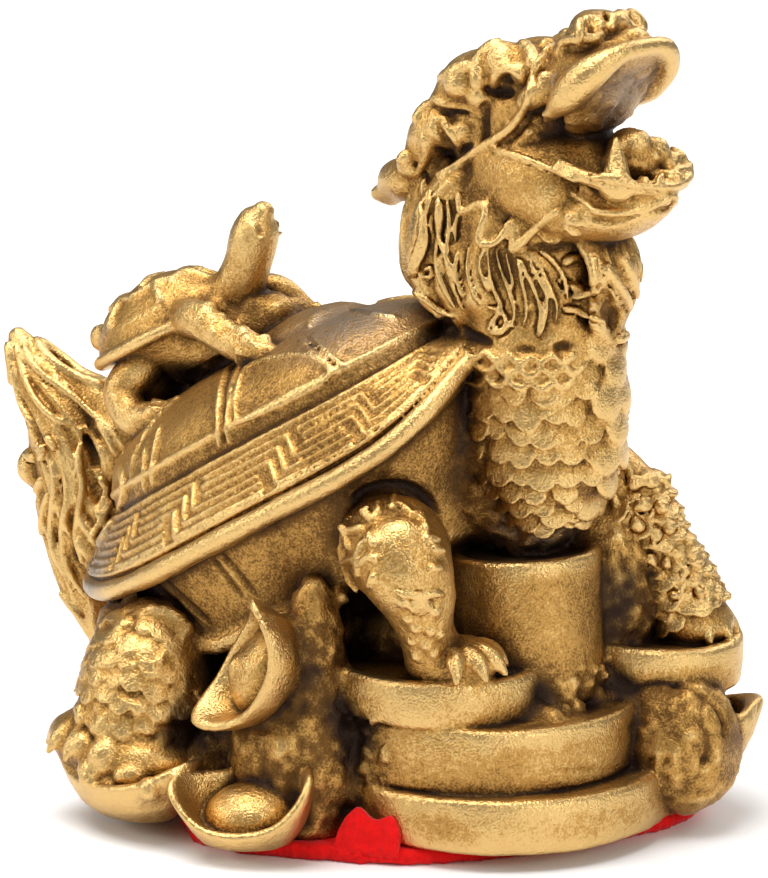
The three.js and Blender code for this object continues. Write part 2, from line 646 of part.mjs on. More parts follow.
// The tail is a flame of hair that stands up behind the shell, combed into strands
function tail() {
  const combed = (step, i) => (i % 2 === 0 ? 1.1 : 0.88);
  return [
    limb([
      [at(-21, 0, 14), 3.2, 4.2], [at(-26.8, 0, 18.4), 3.1, 3.6], [at(-28.4, 0, 23.2), 3, 3.6],
      [at(-30.1, 0, 26.6), 2.6, 2.9], [at(-32.4, 0, 29.2), 1.7, 1.9], [at(-33.8, 0, 31.2), 0.6, 0.7],
    ], { sides: 10, steps: 8, relief: combed }),
    limb([
      [at(-26.8, 0, 8.8), 0.7, 0.7], [at(-27.8, 0, 12.4), 2, 1.9], [at(-28.7, 0, 16.4), 2.5, 2.4],
      [at(-29.4, 0, 20), 2.4, 2.8], [at(-31.8, 0, 21.4), 1.6, 1.6],
    ], { sides: 8, steps: 6, relief: combed }),
    limb([
      [at(-22.4, 0, 21), 1.8, 2.4], [at(-23.8, 0, 24.4), 2, 2.6], [at(-26.4, 0, 26.2), 1.3, 2],
      [at(-29.6, 0, 27.8), 1, 1.3], [at(-31.4, 0, 29.6), 0.5, 0.6],
    ], { sides: 8, steps: 5, relief: combed }),
  ];
}

// The small turtle climbs the shell with its head raised
const SMALL_TILT = THREE.MathUtils.degToRad(-27);
const SMALL_HALF_LENGTH = 6.4;
const SMALL_HALF_WIDTH = 4.9;
const SMALL_SIDES = 10;

function smallShell() {
  const middle = at(-19.9, 0, 32.9);
  const rows = [
    { reach: 0.6, height: -3.4, ahead: 3.4 }, { reach: 0.86, height: -0.9, ahead: 1 },
    { reach: 1, height: -0.3, ahead: 0 }, { reach: 0.95, height: 0.4, ahead: 0 },
    { reach: 0.8, height: 2.0, ahead: 0 }, { reach: 0.46, height: 3.5, ahead: 0.2 },
  ];
  const place = (forward, left, up) => new THREE.Vector3(forward, left, up).multiplyScalar(share)
    .applyAxisAngle(new THREE.Vector3(0, 1, 0), SMALL_TILT).add(middle);
  const rings = rows.map(({ reach, height, ahead }) => Array.from({ length: SMALL_SIDES }, (_, i) => {
    const turn = (i / SMALL_SIDES) * Math.PI * 2;
    const forward = ahead + SMALL_HALF_LENGTH * reach * Math.cos(turn);
    return place(forward, SMALL_HALF_WIDTH * reach * Math.sin(turn), height);
  }));
  return skin(rings, place(3, 0, -3.6), place(0.2, 0, 4));
}

function smallTurtle() {
  const foot = (stops) => limb(
    stops.map(([x, y, z, radius]) => [at(x, y, z), radius]), { sides: 5, steps: 4 });
  const rearFoot = (side) => foot([
    [-20.8, side * 2.6, 30.6, 1.6], [-22, side * 3.4, 28.6, 1.5], [-20.4, side * 4.4, 27, 1.4],
    [-18, side * 4.8, 27.3, 1.3], [-16.2, side * 5, 27.8, 0.6],
  ]);
  return [
    smallShell(),
    limb([
      [at(-16.4, 0, 35), 1.9], [at(-13.7, 0, 36.8), 1.7], [at(-12.9, 0, 39), 1.6],
      [at(-12.3, 0, 40.9), 1.7], [at(-11.5, 0, 41.9), 0.9],
    ], { sides: 7, steps: 5 }),
    lump(at(-15.4, 0.3, 32.6), [6, 2.9, 3], { pitch: -27, sides: 7, rows: 4 }),
    lump(at(-12, 2.2, 33.8), [2.4, 2.2, 2], { sides: 6, rows: 4 }),
    lump(at(-21.2, 0, 28.6), [2, 3, 2.8], { sides: 6, rows: 4 }),
    foot([
      [-17, -2.8, 34.4, 1.5], [-15, -4.2, 34.7, 1.4], [-12.6, -4.8, 33.8, 1.2], [-10.2, -5.2, 33.2, 1.3],
      [-8, -5.4, 32.8, 0.5],
    ]),
    foot([
      [-15.6, 2.4, 35.4, 1.4], [-13, 3.2, 35.8, 1.3], [-11.2, 3.9, 34.4, 1.1], [-9.6, 4.4, 33.2, 1],
    ]),
    ...mirrored(rearFoot),
  ];
}

// All of the brass is one casting, flat below where it stands on the felt
function castingSolid() {
  const whole = joined([
    ...coins(), ...ingots(), ...mound(), body(), ...fret(),
    ...neck(), ...nearForeleg(), ...farForeleg(),
    ...rearLeg(-1, 0.09, 12, 9, 4), ...rearLeg(1, 0.05, 8, 7, 3),
    ...skull(), ...jaws(), ...horns(), ...whiskers(), mane(), ruff(), ...tail(), ...smallTurtle(),
  ]);
  const room = 4 * FIGURE_LENGTH;
  const above = new THREE.BoxGeometry(room, room, room);
  above.translate(0, 0, room / 2 + FELT_THICKNESS);
  return whole.intersect(solidOf(above));
}

// The felt is cut by hand to the outline of the casting
const FELT_SIDES = 39;
const FELT_OUTLINE = [
  [-8, -16], [0, -15], [8, -11.8], [14.2, -4.8], [18.6, 3], [19.2, 9], [15, 13],
  [5, 15], [-6, 15], [-16, 12], [-19, 3], [-17, -7], [-12, -12],
];

function feltPad() {
  const corners = FELT_OUTLINE.map(([x, y]) => new THREE.Vector3(x * share, y * share, 0));
  const outline = new THREE.CatmullRomCurve3(corners, true);
  const edge = outline.getPoints(FELT_SIDES).slice(0, -1);
  const shape = new THREE.Shape(edge.map((point) => new THREE.Vector2(point.x, point.y)));
  return new THREE.ExtrudeGeometry(shape, { depth: FELT_THICKNESS, bevelEnabled: false });
}

const brass = new THREE.MeshStandardMaterial({ color: 0xb8923f, metalness: 1, roughness: 0.42 });
const felt = new THREE.MeshStandardMaterial({ color: 0xe01a1c, metalness: 0, roughness: 1 });

function piece(name, geometry, material) {
  const mesh = new THREE.Mesh(geometry, material);
  mesh.name = name;
  return mesh;
}

const figure = new THREE.Group();
figure.add(piece('casting', filled(geometryOf(castingSolid())), brass));
figure.add(piece('felt_pad', geometryOf(solidOf(feltPad())), felt));
export default figure;
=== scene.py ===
"""A small cast brass dragon turtle on coins and ingots, glued to a cut pad of red felt.

The casting is sculpted here as a founder's wax is: forms are welded together and lines are cut on a
fine grid of distances, and the skin of that wax becomes one mesh. Work is done in millimetres, in
the frame's own directions, until a mesh is made in metres.
"""

import logging
import math
from dataclasses import dataclass, field
from enum import Enum
from functools import cache
from typing import Callable, ClassVar, Optional, Sequence, Union

import bpy
import numpy as np
import openvdb
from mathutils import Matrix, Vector


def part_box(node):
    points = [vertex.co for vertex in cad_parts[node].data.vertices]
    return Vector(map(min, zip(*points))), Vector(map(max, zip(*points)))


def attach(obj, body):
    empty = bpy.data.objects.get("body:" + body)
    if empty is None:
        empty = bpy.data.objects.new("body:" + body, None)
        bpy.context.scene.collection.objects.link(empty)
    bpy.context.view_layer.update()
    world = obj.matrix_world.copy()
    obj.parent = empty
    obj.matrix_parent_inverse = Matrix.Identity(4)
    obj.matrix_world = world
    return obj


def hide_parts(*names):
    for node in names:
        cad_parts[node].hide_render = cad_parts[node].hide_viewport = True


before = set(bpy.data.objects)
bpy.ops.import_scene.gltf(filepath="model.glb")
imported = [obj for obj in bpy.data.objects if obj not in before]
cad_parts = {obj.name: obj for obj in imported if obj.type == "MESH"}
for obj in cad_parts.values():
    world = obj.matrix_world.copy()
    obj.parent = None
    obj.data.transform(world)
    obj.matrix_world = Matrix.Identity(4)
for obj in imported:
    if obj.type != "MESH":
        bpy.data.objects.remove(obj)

LOG = logging.getLogger("dragon_turtle")
MM = 0.001
SEED = 11
GOLDEN_TURN = 2.4

Array = np.ndarray
Placer = Callable[[Array], Array]


# How the figure was drawn, in mm: the height of the coins, of its feet and of its top, where the line
# is that its head turns about, and how far its head is turned and its shell tilted
STACK_HEIGHT = 11.7
DRAWN_STAND = 12.9
DRAWN_TOP = 58.09
HEAD_AXIS_X = 10.0
HEAD_TURN = math.radians(-12)
SHELL_TILT = math.radians(30)

# Where the photograph was taken from, in mm, and the direction from the figure to there
EYE = np.array([142.7, -251.0, 90.9])
TO_EYE = np.array([0.48815, -0.84550, 0.21644])

# Sizes read from the frame: the felt's thickness, the height of the coins and the figure's scale
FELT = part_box("felt_pad")[1].z / MM
STACK = STACK_HEIGHT + FELT
SHARE = (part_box("casting")[1].z / MM - STACK) / (DRAWN_TOP - DRAWN_STAND)


# Places

def at(points: Array) -> Array:
    """Turns drawn places on the figure into places in the frame."""
    points = np.atleast_2d(np.asarray(points, float))
    return points * SHARE + np.array([0.0, 0.0, STACK - DRAWN_STAND * SHARE])


def on_pad(points: Array) -> Array:
    """Turns places over the pad into places in the frame, with their height above the felt."""
    points = np.atleast_2d(np.asarray(points, float)).copy()
    points[:, :2] *= SHARE
    points[:, 2] += FELT
    return points


def on_head(points: Array) -> Array:
    """Turns drawn places on the head into places in the frame: the head looks a little to its right."""
    points = np.atleast_2d(np.asarray(points, float))
    along = points[:, 0] - HEAD_AXIS_X
    cos, sin = math.cos(HEAD_TURN), math.sin(HEAD_TURN)
    swung = np.stack([
        HEAD_AXIS_X + cos * along - sin * points[:, 1],
        sin * along + cos * points[:, 1],
        points[:, 2],
    ], axis=1)
    return at(swung)


def circle(count: int) -> Array:
    """Gives turns that go once round, in radians."""
    return np.linspace(0, 2 * math.pi, count, endpoint=False)


def level(turn: float) -> Array:
    """Gives the level direction at a turn from +X, in radians."""
    return np.array([math.cos(turn), math.sin(turn), 0.0])


# Shapes

@dataclass(frozen=True)
class Shape:
    """A closed surface in millimetres: its points and its triangles."""

    points: Array
    faces: Array


def unit(vectors: Array) -> Array:
    """Scales vectors to length one."""
    return vectors / np.maximum(np.linalg.norm(vectors, axis=-1, keepdims=True), 1e-9)


def along_path(stops: Array, t: Array, even: bool = False) -> Array:
    """Follows a smooth curve through stops.

    Args:
        stops: One row for each stop.
        t: Where to read the curve, from 0 at the first stop to 1 at the last.
        even: True where the stops are sizes, which have no spacing of their own.

    Returns:
        One row for each value of t.
    """
    ends = np.vstack([2 * stops[0] - stops[1], stops, 2 * stops[-1] - stops[-2]])
    spot = np.clip(t, 0, 1) * (len(stops) - 1)
    index = np.minimum(spot.astype(int), len(stops) - 2)
    f = (spot - index)[:, None]
    a, b, c, d = (ends[index + k] for k in range(4))
    if even:
        start, stop = (c - a) / 2, (d - b) / 2
    else:
        def gap(p: Array, q: Array) -> Array:
            """Gives the square root of the distance between two stops."""
            return np.maximum(np.linalg.norm(q - p, axis=1, keepdims=True), 1e-6) ** 0.5

        x, y, z = gap(a, b), gap(b, c), gap(c, d)
        start = ((b - a) / x - (c - a) / (x + y) + (c - b) / y) * y
        stop = ((c - b) / y - (d - b) / (y + z) + (d - c) / z) * y
    return b + f * start + f * f * (3 * (c - b) - 2 * start - stop) + f ** 3 * (2 * (b - c) + start + stop)


def skin(rings: Array) -> Shape:
    """Closes a skin over rings of points.

    Args:
        rings: An array of rings by points by three.

    Returns:
        The skin, with a fan of triangles at each end.
    """
    rows, columns, _ = rings.shape
    points = np.vstack([rings.reshape(-1, 3), rings[0].mean(0), rings[-1].mean(0)])
    row, column = np.meshgrid(np.arange(rows - 1), np.arange(columns), indexing="ij")
    a = (row * columns + column).ravel()
    b = (row * columns + (column + 1) % columns).ravel()
    rim = np.arange(columns)
    after = (rim + 1) % columns
    last = (rows - 1) * columns
    first_centre, last_centre = np.full(columns, rows * columns), np.full(columns, rows * columns + 1)
    faces = np.vstack([
        np.stack([a, b, b + columns], 1),
        np.stack([a, b + columns, a + columns], 1),
        np.stack([first_centre, after, rim], 1),
        np.stack([last_centre, last + rim, last + after], 1),
    ])
    return Shape(points, faces)


@dataclass
class Limb:
    """A round or oval form along a curve, such as a leg, a lock or a lip.

    Each stop is x, y, z, half width and, if it differs, half depth, in drawn millimetres. An end is
    closed by rings that shrink like a dome's, whose height is a share of the end's smaller half size.
    """

    CAP_TURNS = np.linspace(0.35, 1.45, 5)
    CAP_LENGTH = 0.9

    stops: Sequence[Sequence[float]]
    placer: Placer = at
    side: tuple[float, float, float] = (0.0, 1.0, 0.0)
    relief: Optional[Callable[[Array, Array], Array]] = None

    def __post_init__(self) -> None:
        """Places the stops in the frame."""
        rows = np.array([[*stop, stop[3]] if len(stop) == 4 else stop for stop in self.stops], float)
        self.spine = self.placer(rows[:, :3])
        self.girth = rows[:, 3:5] * SHARE

    def section(self, t: Array) -> tuple[Array, Array, Array, Array, Array]:
        """Reads the limb's sections.

        Args:
            t: Where along the limb, from 0 to 1.

        Returns:
            The centres, the tangents, the directions across and deep, and the half sizes.
        """
        step = 0.004
        centre = along_path(self.spine, t)
        tangent = unit(along_path(self.spine, t + step) - along_path(self.spine, t - step))
        side = np.array(self.side)
        across = unit(side - (tangent @ side)[:, None] * tangent)
        deep = np.cross(tangent, across)
        return centre, tangent, across, deep, np.maximum(along_path(self.girth, t, even=True), 0.02)

    def surface(self, t: Array, angle: Array, lift: Union[float, Array] = 0.0) -> tuple[Array, Array, Array]:
        """Reads places on the limb's surface.

        Args:
            t: Where along the limb, from 0 to 1.
            angle: Where round it, in radians from the side direction.
            lift: How far above the surface, in mm.

        Returns:
            The places, the outward directions and the directions along the limb.
        """
        t, angle = np.broadcast_arrays(np.asarray(t, float), np.asarray(angle, float))
        centre, tangent, across, deep, size = self.section(t)
        cos, sin = np.cos(angle)[:, None], np.sin(angle)[:, None]
        place = centre + across * cos * size[:, :1] + deep * sin * size[:, 1:]
        out = unit(across * cos / size[:, :1] + deep * sin / size[:, 1:])
        return place + out * np.reshape(np.asarray(lift, float), (-1, 1)), out, tangent

    def shape(self, sides: int = 40, steps: int = 60) -> Shape:
        """Makes the limb's skin, with rounded ends."""
        t = np.linspace(0, 1, steps)
        centre, tangent, across, deep, size = self.section(t)
        angle = circle(sides)
        swell = np.zeros((steps, sides))
        if self.relief:
            swell = self.relief(t[:, None], angle[None, :]) + swell
        wide = size[:, :1] + swell
        thick = size[:, 1:] + swell
        rings = (centre[:, None] + across[:, None] * (wide * np.cos(angle))[..., None]
                 + deep[:, None] * (thick * np.sin(angle))[..., None])
        caps = []
        for end, outward in ((0, -1.0), (-1, 1.0)):
            bulge = []
            reach = tangent[end] * outward * min(size[end])
            for turn in self.CAP_TURNS:
                middle = centre[end] + reach * math.sin(turn) * self.CAP_LENGTH
                bulge.append(middle + (rings[end] - centre[end]) * math.cos(turn))
            caps.append(np.array(bulge if end else bulge[::-1]))
        return skin(np.vstack([caps[0], rings, caps[1]]))


def lump(place: Array, size: Sequence[float], pitch: float = 0, yaw: float = 0) -> Shape:
    """Makes an egg-shaped lump.

    Args:
        place: Its centre, in the frame.
        size: Its half sizes along its own axes, in drawn millimetres.
        pitch: Its turn about Y, in degrees.
        yaw: Its turn about Z after that.

    Returns:
        The lump.
    """
    pole = 0.06
    polar = np.linspace(pole, math.pi - pole, 26)[:, None]
    around = circle(40)
    ring = np.stack([
        np.sin(polar) * np.cos(around), np.sin(polar) * np.sin(around),
        np.cos(polar) * np.ones_like(around)], axis=-1) * np.array(size) * SHARE
    return skin(ring @ turned(pitch, yaw).T + np.asarray(place).reshape(3))


def turned(pitch: float, yaw: float) -> Array:
    """Gives the matrix of a turn about Y and one about Z after it, in degrees."""
    p, y = math.radians(pitch), math.radians(yaw)
    about_y = np.array([[math.cos(p), 0, math.sin(p)], [0, 1, 0], [-math.sin(p), 0, math.cos(p)]])
    about_z = np.array([[math.cos(y), -math.sin(y), 0], [math.sin(y), math.cos(y), 0], [0, 0, 1]])
    return about_z @ about_y


# Node trees

def add_node(tree: bpy.types.NodeTree, kind: str, settings: Optional[dict] = None,
             inputs: Optional[dict] = None) -> bpy.types.Node:
    """Adds a node to a tree.

    Args:
        tree: The tree.
        kind: The node's type.
        settings: Its properties by name.
        inputs: Its sockets by name or number, each with a value or with the socket that feeds it.

    Returns:
        The node.
    """
    node = tree.nodes.new(kind)
    for name, value in (settings or {}).items():
        setattr(node, name, value)
    for key, value in (inputs or {}).items():
        if isinstance(value, bpy.types.NodeSocket):
            tree.links.new(value, node.inputs[key])
        else:
            node.inputs[key].default_value = value
    return node


def linked(name: str, data: Optional[bpy.types.ID]) -> bpy.types.Object:
    """Puts a new object into the scene."""
    made = bpy.data.objects.new(name, data)
    bpy.context.scene.collection.objects.link(made)
    return made


class Carrier:
    """A scratch mesh that carries points into a geometry node tree, and the plain mesh that comes out."""

    def __init__(self, name: str, points: Array, edges: Array, floats: dict[str, Array],
                 vectors: Optional[dict[str, Array]] = None) -> None:
        """Builds the scratch mesh.

        Args:
            name: Its name.
            points: Its vertices.
            edges: Its edges.
            floats: Its number attributes by name.
            vectors: Its vector attributes by name.
        """
        self.mesh = bpy.data.meshes.new(name)
        self.mesh.vertices.add(len(points))
        self.mesh.vertices.foreach_set("co", np.asarray(points, np.float32).ravel())
        if len(edges):
            self.mesh.edges.add(len(edges))
            self.mesh.edges.foreach_set("vertices", np.asarray(edges, np.int32).ravel())
        for key, values in floats.items():
            self.mesh.attributes.new(key, "FLOAT", "POINT").data.foreach_set(
                "value", np.asarray(values, np.float32))
        for key, values in (vectors or {}).items():
            self.mesh.attributes.new(key, "FLOAT_VECTOR", "POINT").data.foreach_set(
                "vector", np.asarray(values, np.float32).ravel())
        self.mesh.update()
        self.object = linked(name, self.mesh)

    def realised(self, tree: bpy.types.NodeTree, values: dict[str, object]) -> bpy.types.Mesh:
        """Runs a tree on the carrier and takes the plain mesh.

        Args:
            tree: The geometry node tree.
            values: Its inputs by the names of their sockets.

        Returns:
            The mesh. The carrier is gone after this.
        """
        modifier = self.object.modifiers.new(tree.name, "NODES")
        modifier.node_group = tree
        sockets = {item.name: item.identifier for item in tree.interface.items_tree
                   if item.item_type == "SOCKET" and item.in_out == "INPUT"}
        for name, value in values.items():
            modifier[sockets[name]] = value
        graph = bpy.context.evaluated_depsgraph_get()
        made = bpy.data.meshes.new_from_object(self.object.evaluated_get(graph), depsgraph=graph)
        self.object.modifiers.remove(modifier)
        bpy.data.objects.remove(self.object)
        bpy.data.meshes.remove(self.mesh)
        return made


def start_tree(name: str, sockets: Sequence[tuple[str, str]]) -> tuple[bpy.types.NodeTree, bpy.types.Node]:
    """Starts a geometry node tree.

    Args:
        name: The tree's name.
        sockets: The name and type of each input after the geometry.

    Returns:
        The tree and its input node.
    """
    tree = bpy.data.node_groups.new(name, "GeometryNodeTree")
    tree.interface.new_socket("Geometry", in_out="INPUT", socket_type="NodeSocketGeometry")
    for label, kind in sockets:
        tree.interface.new_socket(label, in_out="INPUT", socket_type=kind)
    tree.interface.new_socket("Geometry", in_out="OUTPUT", socket_type="NodeSocketGeometry")
    return tree, add_node(tree, "NodeGroupInput")


def end_tree(tree: bpy.types.NodeTree, geometry: bpy.types.NodeSocket, given: bpy.types.Node) -> None:
    """Ends a tree in plain geometry with its material."""
    real = add_node(tree, "GeometryNodeRealizeInstances", None, {0: geometry})
    dressed = add_node(tree, "GeometryNodeSetMaterial", None,
                       {"Geometry": real.outputs[0], "Material": given.outputs["Material"]})
    add_node(tree, "NodeGroupOutput", None, {0: dressed.outputs[0]})


@cache
def strand_tree() -> bpy.types.NodeTree:
    """Builds the tree that rolls a strand of wax along each line of the carrier."""
    tree, given = start_tree("strands", [("Sides", "NodeSocketInt"), ("Material", "NodeSocketMaterial")])
    line = add_node(tree, "GeometryNodeMeshToCurve", None, {"Mesh": given.outputs["Geometry"]})
    girth = add_node(tree, "GeometryNodeInputNamedAttribute", {"data_type": "FLOAT"}, {"Name": "girth"})
    profile = add_node(tree, "GeometryNodeCurvePrimitiveCircle", None,
                       {"Resolution": given.outputs["Sides"], "Radius": 1.0})
    roll = add_node(tree, "GeometryNodeCurveToMesh", None, {
        "Curve": line.outputs[0], "Profile Curve": profile.outputs[0], "Scale": girth.outputs[0],
        "Fill Caps": True})
    end_tree(tree, roll.outputs[0], given)
    return tree


@cache
def scale_tree() -> bpy.types.NodeTree:
    """Builds the tree that lays a rounded scale on each point of the carrier."""
    tree, given = start_tree("scales", [
        ("Thickness", "NodeSocketFloat"), ("Sides", "NodeSocketInt"), ("Material", "NodeSocketMaterial")])
    disc = add_node(tree, "GeometryNodeMeshUVSphere", None,
                    {"Segments": given.outputs["Sides"], "Rings": 8, "Radius": 1.0})
    flat = add_node(tree, "ShaderNodeCombineXYZ", None, {"X": 1.0, "Y": 1.0, "Z": given.outputs["Thickness"]})
    scale = add_node(tree, "GeometryNodeTransform", None,
                     {"Geometry": disc.outputs[0], "Scale": flat.outputs[0]})
    turn = add_node(tree, "GeometryNodeInputNamedAttribute", {"data_type": "FLOAT_VECTOR"}, {"Name": "turn"})
    size = add_node(tree, "GeometryNodeInputNamedAttribute", {"data_type": "FLOAT_VECTOR"}, {"Name": "size"})
    rotation = add_node(tree, "FunctionNodeEulerToRotation", None, {0: turn.outputs[0]})
    laid = add_node(tree, "GeometryNodeInstanceOnPoints", None, {
        "Points": given.outputs["Geometry"], "Instance": scale.outputs[0],
        "Rotation": rotation.outputs[0], "Scale": size.outputs[0]})
    end_tree(tree, laid.outputs[0], given)
    return tree


@dataclass
class Strands:
    """Rolls of wax that follow lines: hair, lips, cords and the lines of the fret."""

    THINNEST = 0.03

    lines: list[tuple[Array, Array]] = field(default_factory=list)

    def add(self, points: Array, girth: Union[float, Array], smooth: int = 0) -> None:
        """Adds one line.

        Args:
            points: The places that it runs through, in the frame.
            girth: Its half width in mm, one for all or one for each place.
            smooth: The number of points to draw it with, or 0 to keep its places.
        """
        girth = np.broadcast_to(np.asarray(girth, float), (len(points),))
        if smooth:
            t = np.linspace(0, 1, smooth)
            points, girth = along_path(points, t), along_path(girth[:, None], t, even=True)[:, 0]
        self.lines.append((points, np.maximum(girth, self.THINNEST)))

    def shape(self, sides: int = 8) -> Shape:
        """Rolls all the lines into one shape."""
        points = np.vstack([line for line, _ in self.lines])
        girth = np.concatenate([size for _, size in self.lines])
        edges, start = [], 0
        for line, _ in self.lines:
            run = np.arange(start, start + len(line) - 1)
            edges.append(np.stack([run, run + 1], 1))
            start += len(line)
        carrier = Carrier("strand_lines", points, np.vstack(edges), {"girth": girth})
        return taken(carrier.realised(strand_tree(), {"Sides": sides, "Material": None}))


def rolled(*lines: tuple[Array, Union[float, Array]], sides: int = 8) -> Shape:
    """Rolls strands of wax.

    Args:
        lines: For each strand, the places that it runs through and its half width in mm.
        sides: How many sides a strand has.

    Returns:
        The strands as one shape.
    """
    strands = Strands()
    for points, girth in lines:
        strands.add(points, girth)
    return strands.shape(sides)


@dataclass
class Scales:
    """Rounded scales or beads laid on a surface, each with its lip lifted."""

    places: list[Array] = field(default_factory=list)
    turns: list[Array] = field(default_factory=list)
    sizes: list[Array] = field(default_factory=list)
    bases: list[Array] = field(default_factory=list)

    def add(self, place: Array, out: Array, along: Array, size: Array, tilt: float) -> None:
        """Adds scales.

        Args:
            place: Their centres, in the frame.
            out: The outward direction at each.
            along: The direction in which each one's lip points.
            size: Half width, half length and thickness of each, in mm.
            tilt: How far the lips are lifted, in degrees.
        """
        across = unit(np.cross(along, out))
        along = unit(np.cross(out, across))
        cos, sin = math.cos(math.radians(tilt)), math.sin(math.radians(tilt))
        forward = along * cos + out * sin
        upward = out * cos - along * sin
        basis = np.stack([across, forward, upward], axis=-1)
        pitch = -np.arcsin(np.clip(basis[:, 2, 0], -1, 1))
        roll = np.arctan2(basis[:, 2, 1], basis[:, 2, 2])
        yaw = np.arctan2(basis[:, 1, 0], basis[:, 0, 0])
        self.places.append(place)
        self.turns.append(np.stack([roll, pitch, yaw], 1))
        self.sizes.append(np.broadcast_to(size, place.shape))
        self.bases.append(basis)

    def edges(self, girth: float) -> Shape:
        """Rolls a fine raised edge round the lip of every scale, thinner towards its ends."""
        arc = np.linspace(-1.9, 1.9, 13)
        taper = 1.15 - 0.25 * np.abs(arc)
        lines = []
        for place, basis, size in zip(*(np.vstack(rows) for rows in (self.places, self.bases, self.sizes))):
            across, forward, upward = basis.T
            way = (place + np.outer(np.sin(arc) * size[0], across) + np.outer(np.cos(arc) * size[1], forward)
                   + upward * 0.4 * size[2])
            lines.append((way, girth * taper))
        return rolled(*lines, sides=6)

    def shape(self, sides: int = 16) -> Shape:
        """Lays all the scales as one shape."""
        carrier = Carrier("scale_points", np.vstack(self.places), np.empty((0, 2)), {},
                          {"turn": np.vstack(self.turns), "size": np.vstack(self.sizes)})
        values = {"Thickness": 1.0, "Sides": sides, "Material": None}
        return taken(carrier.realised(scale_tree(), values))


def shape_of(mesh: bpy.types.Mesh) -> Shape:
    """Reads the points and triangles of a mesh."""
    mesh.calc_loop_triangles()
    points = np.empty(len(mesh.vertices) * 3, np.float32)
    faces = np.empty(len(mesh.loop_triangles) * 3, np.int32)
    mesh.vertices.foreach_get("co", points)
    mesh.loop_triangles.foreach_get("vertices", faces)
    return Shape(points.reshape(-1, 3).astype(float), faces.reshape(-1, 3))


def taken(mesh: bpy.types.Mesh) -> Shape:
    """Takes the shape of a scratch mesh, and removes the mesh."""
    shape = shape_of(mesh)
    bpy.data.meshes.remove(mesh)
    return shape


# The wax

class Wear(Enum):
    """How a stretch of the casting's skin came out, as the share of it that is rubbed bright."""

    FILLER = 0.0
    SAND = 0.4
    CARVED = 0.6
    RUBBED = 1.0


def between(values: Array, base: Array, share: Array) -> Array:
    """Reads a grid between its points.

    Args:
        values: The grid.
        base: The grid point below each place.
        share: How far each place lies from that point to the next, from 0 to 1 along each axis.

    Returns:
        The value at each place.
    """
    total = np.zeros(len(base))
    for corner in np.ndindex(2, 2, 2):
        weight = np.prod([share[:, k] if corner[k] else 1 - share[:, k] for k in range(3)], axis=0)
        total += weight * values[tuple((base + corner).T)]
    return total


class Wax:
    """The wax of the casting: signed distances in mm on a regular grid, negative inside.

    STEP is the grid's spacing, BAND the number of steps round the skin that distances are known for, and
    MARGIN the room round the figure. Wear is kept on the grid in whole steps up to FULL.
    """

    STEP = 0.16
    BAND = 6.0
    MARGIN = 1.2
    FULL = 255

    def __init__(self, low: Array, high: Array) -> None:
        """Starts an empty block of grid between two corners, in mm."""
        self.low = np.asarray(low, float) - self.MARGIN
        size = np.ceil((np.asarray(high, float) + self.MARGIN - self.low) / self.STEP).astype(int)
        self.far = self.BAND * self.STEP
        self.distance = np.full(size, self.far, np.float32)
        self.wear = np.zeros(size, np.uint8)

    def field(self, shape: Shape) -> tuple[tuple[slice, ...], Array]:
        """Measures a shape on the part of the grid that it reaches.

        Args:
            shape: A closed shape, which may lap over itself.

        Returns:
            The part of the grid, and the distances there in mm.
        """
        points = ((shape.points - self.low) / self.STEP).astype(np.float32)
        margin = int(self.BAND) + 1
        start = np.maximum(np.floor(points.min(0)).astype(int) - margin, 0)
        stop = np.minimum(np.ceil(points.max(0)).astype(int) + margin, self.distance.shape)
        grid = openvdb.FloatGrid.createLevelSetFromPolygons(
            points, triangles=shape.faces.astype(np.uint32),
            transform=openvdb.createLinearTransform(1.0), halfWidth=self.BAND)
        block = np.full(np.maximum(stop - start, 1), self.BAND, np.float32)
        grid.copyToArray(block, ijk=tuple(int(i) for i in start))
        return tuple(slice(a, b) for a, b in zip(start, stop)), block * self.STEP

    def weld(self, shape: Shape, wear: Wear, fillet: float = 0.0, inset: float = 0.0) -> None:
        """Adds a shape to the wax.

        Args:
            shape: The shape.
            wear: How its skin came out.
            fillet: The size of the fillet where it meets the wax, in mm.
            inset: How far its skin is drawn in first, in mm.
        """
        part, other = self.field(shape)
        other += inset
        own = self.distance[part]
        self.wear[part][other < own] = int(wear.value * self.FULL)
        self.distance[part] = smallest(own, other, fillet)

    def cut(self, shape: Shape, fillet: float = 0.0) -> None:
        """Takes a shape out of the wax."""
        part, other = self.field(shape)
        self.distance[part] = -smallest(-self.distance[part], other, fillet)

    def blurred(self, radius: float) -> tuple[Array, int]:
        """Averages the distances over a radius.

        Args:
            radius: The radius in mm.

        Returns:
            The averages on every second point of the grid, and that two.
        """
        every = 2
        coarse = np.clip(self.distance[::every, ::every, ::every], -self.far, self.far)
        reach = max(1, round(radius / (every * self.STEP)))
        for axis in range(3):
            for _ in range(2):
                coarse = moving_mean(coarse, reach, axis)
        return coarse, every

    def read(self, values: Array, points: Array, every: int = 1) -> Array:
        """Reads a grid, such as the distances, at places in mm."""
        spot = (points - self.low) / (self.STEP * every)
        base = np.clip(np.floor(spot).astype(int), 0, np.array(values.shape) - 2)
        return between(values, base, np.clip(spot - base, 0, 1))

    def skin(self) -> tuple[Array, Array]:
        """Gives the wax's skin as points in mm and faces of four corners."""
        grid = openvdb.FloatGrid(self.far)
        grid.copyFromArray(self.distance)
        points, _, quads = grid.convertToPolygons(isovalue=0.0, adaptivity=0.0)
        return points * self.STEP + self.low, quads


# What the drawing is made of: a stroke's half width and places; a run's places, directions to the carver
# and half widths on the wax; and a mark's place and size
Stroke = tuple[float, Sequence[tuple[float, float]]]
Run = tuple[Array, Array, Array]
Mark = tuple[float, float, float]


class Flank(Enum):
    """The flanks that a line of the drawing is carved on, as whether each is the mirrored one."""

    NEAR = (False,)
    BOTH = (False, True)


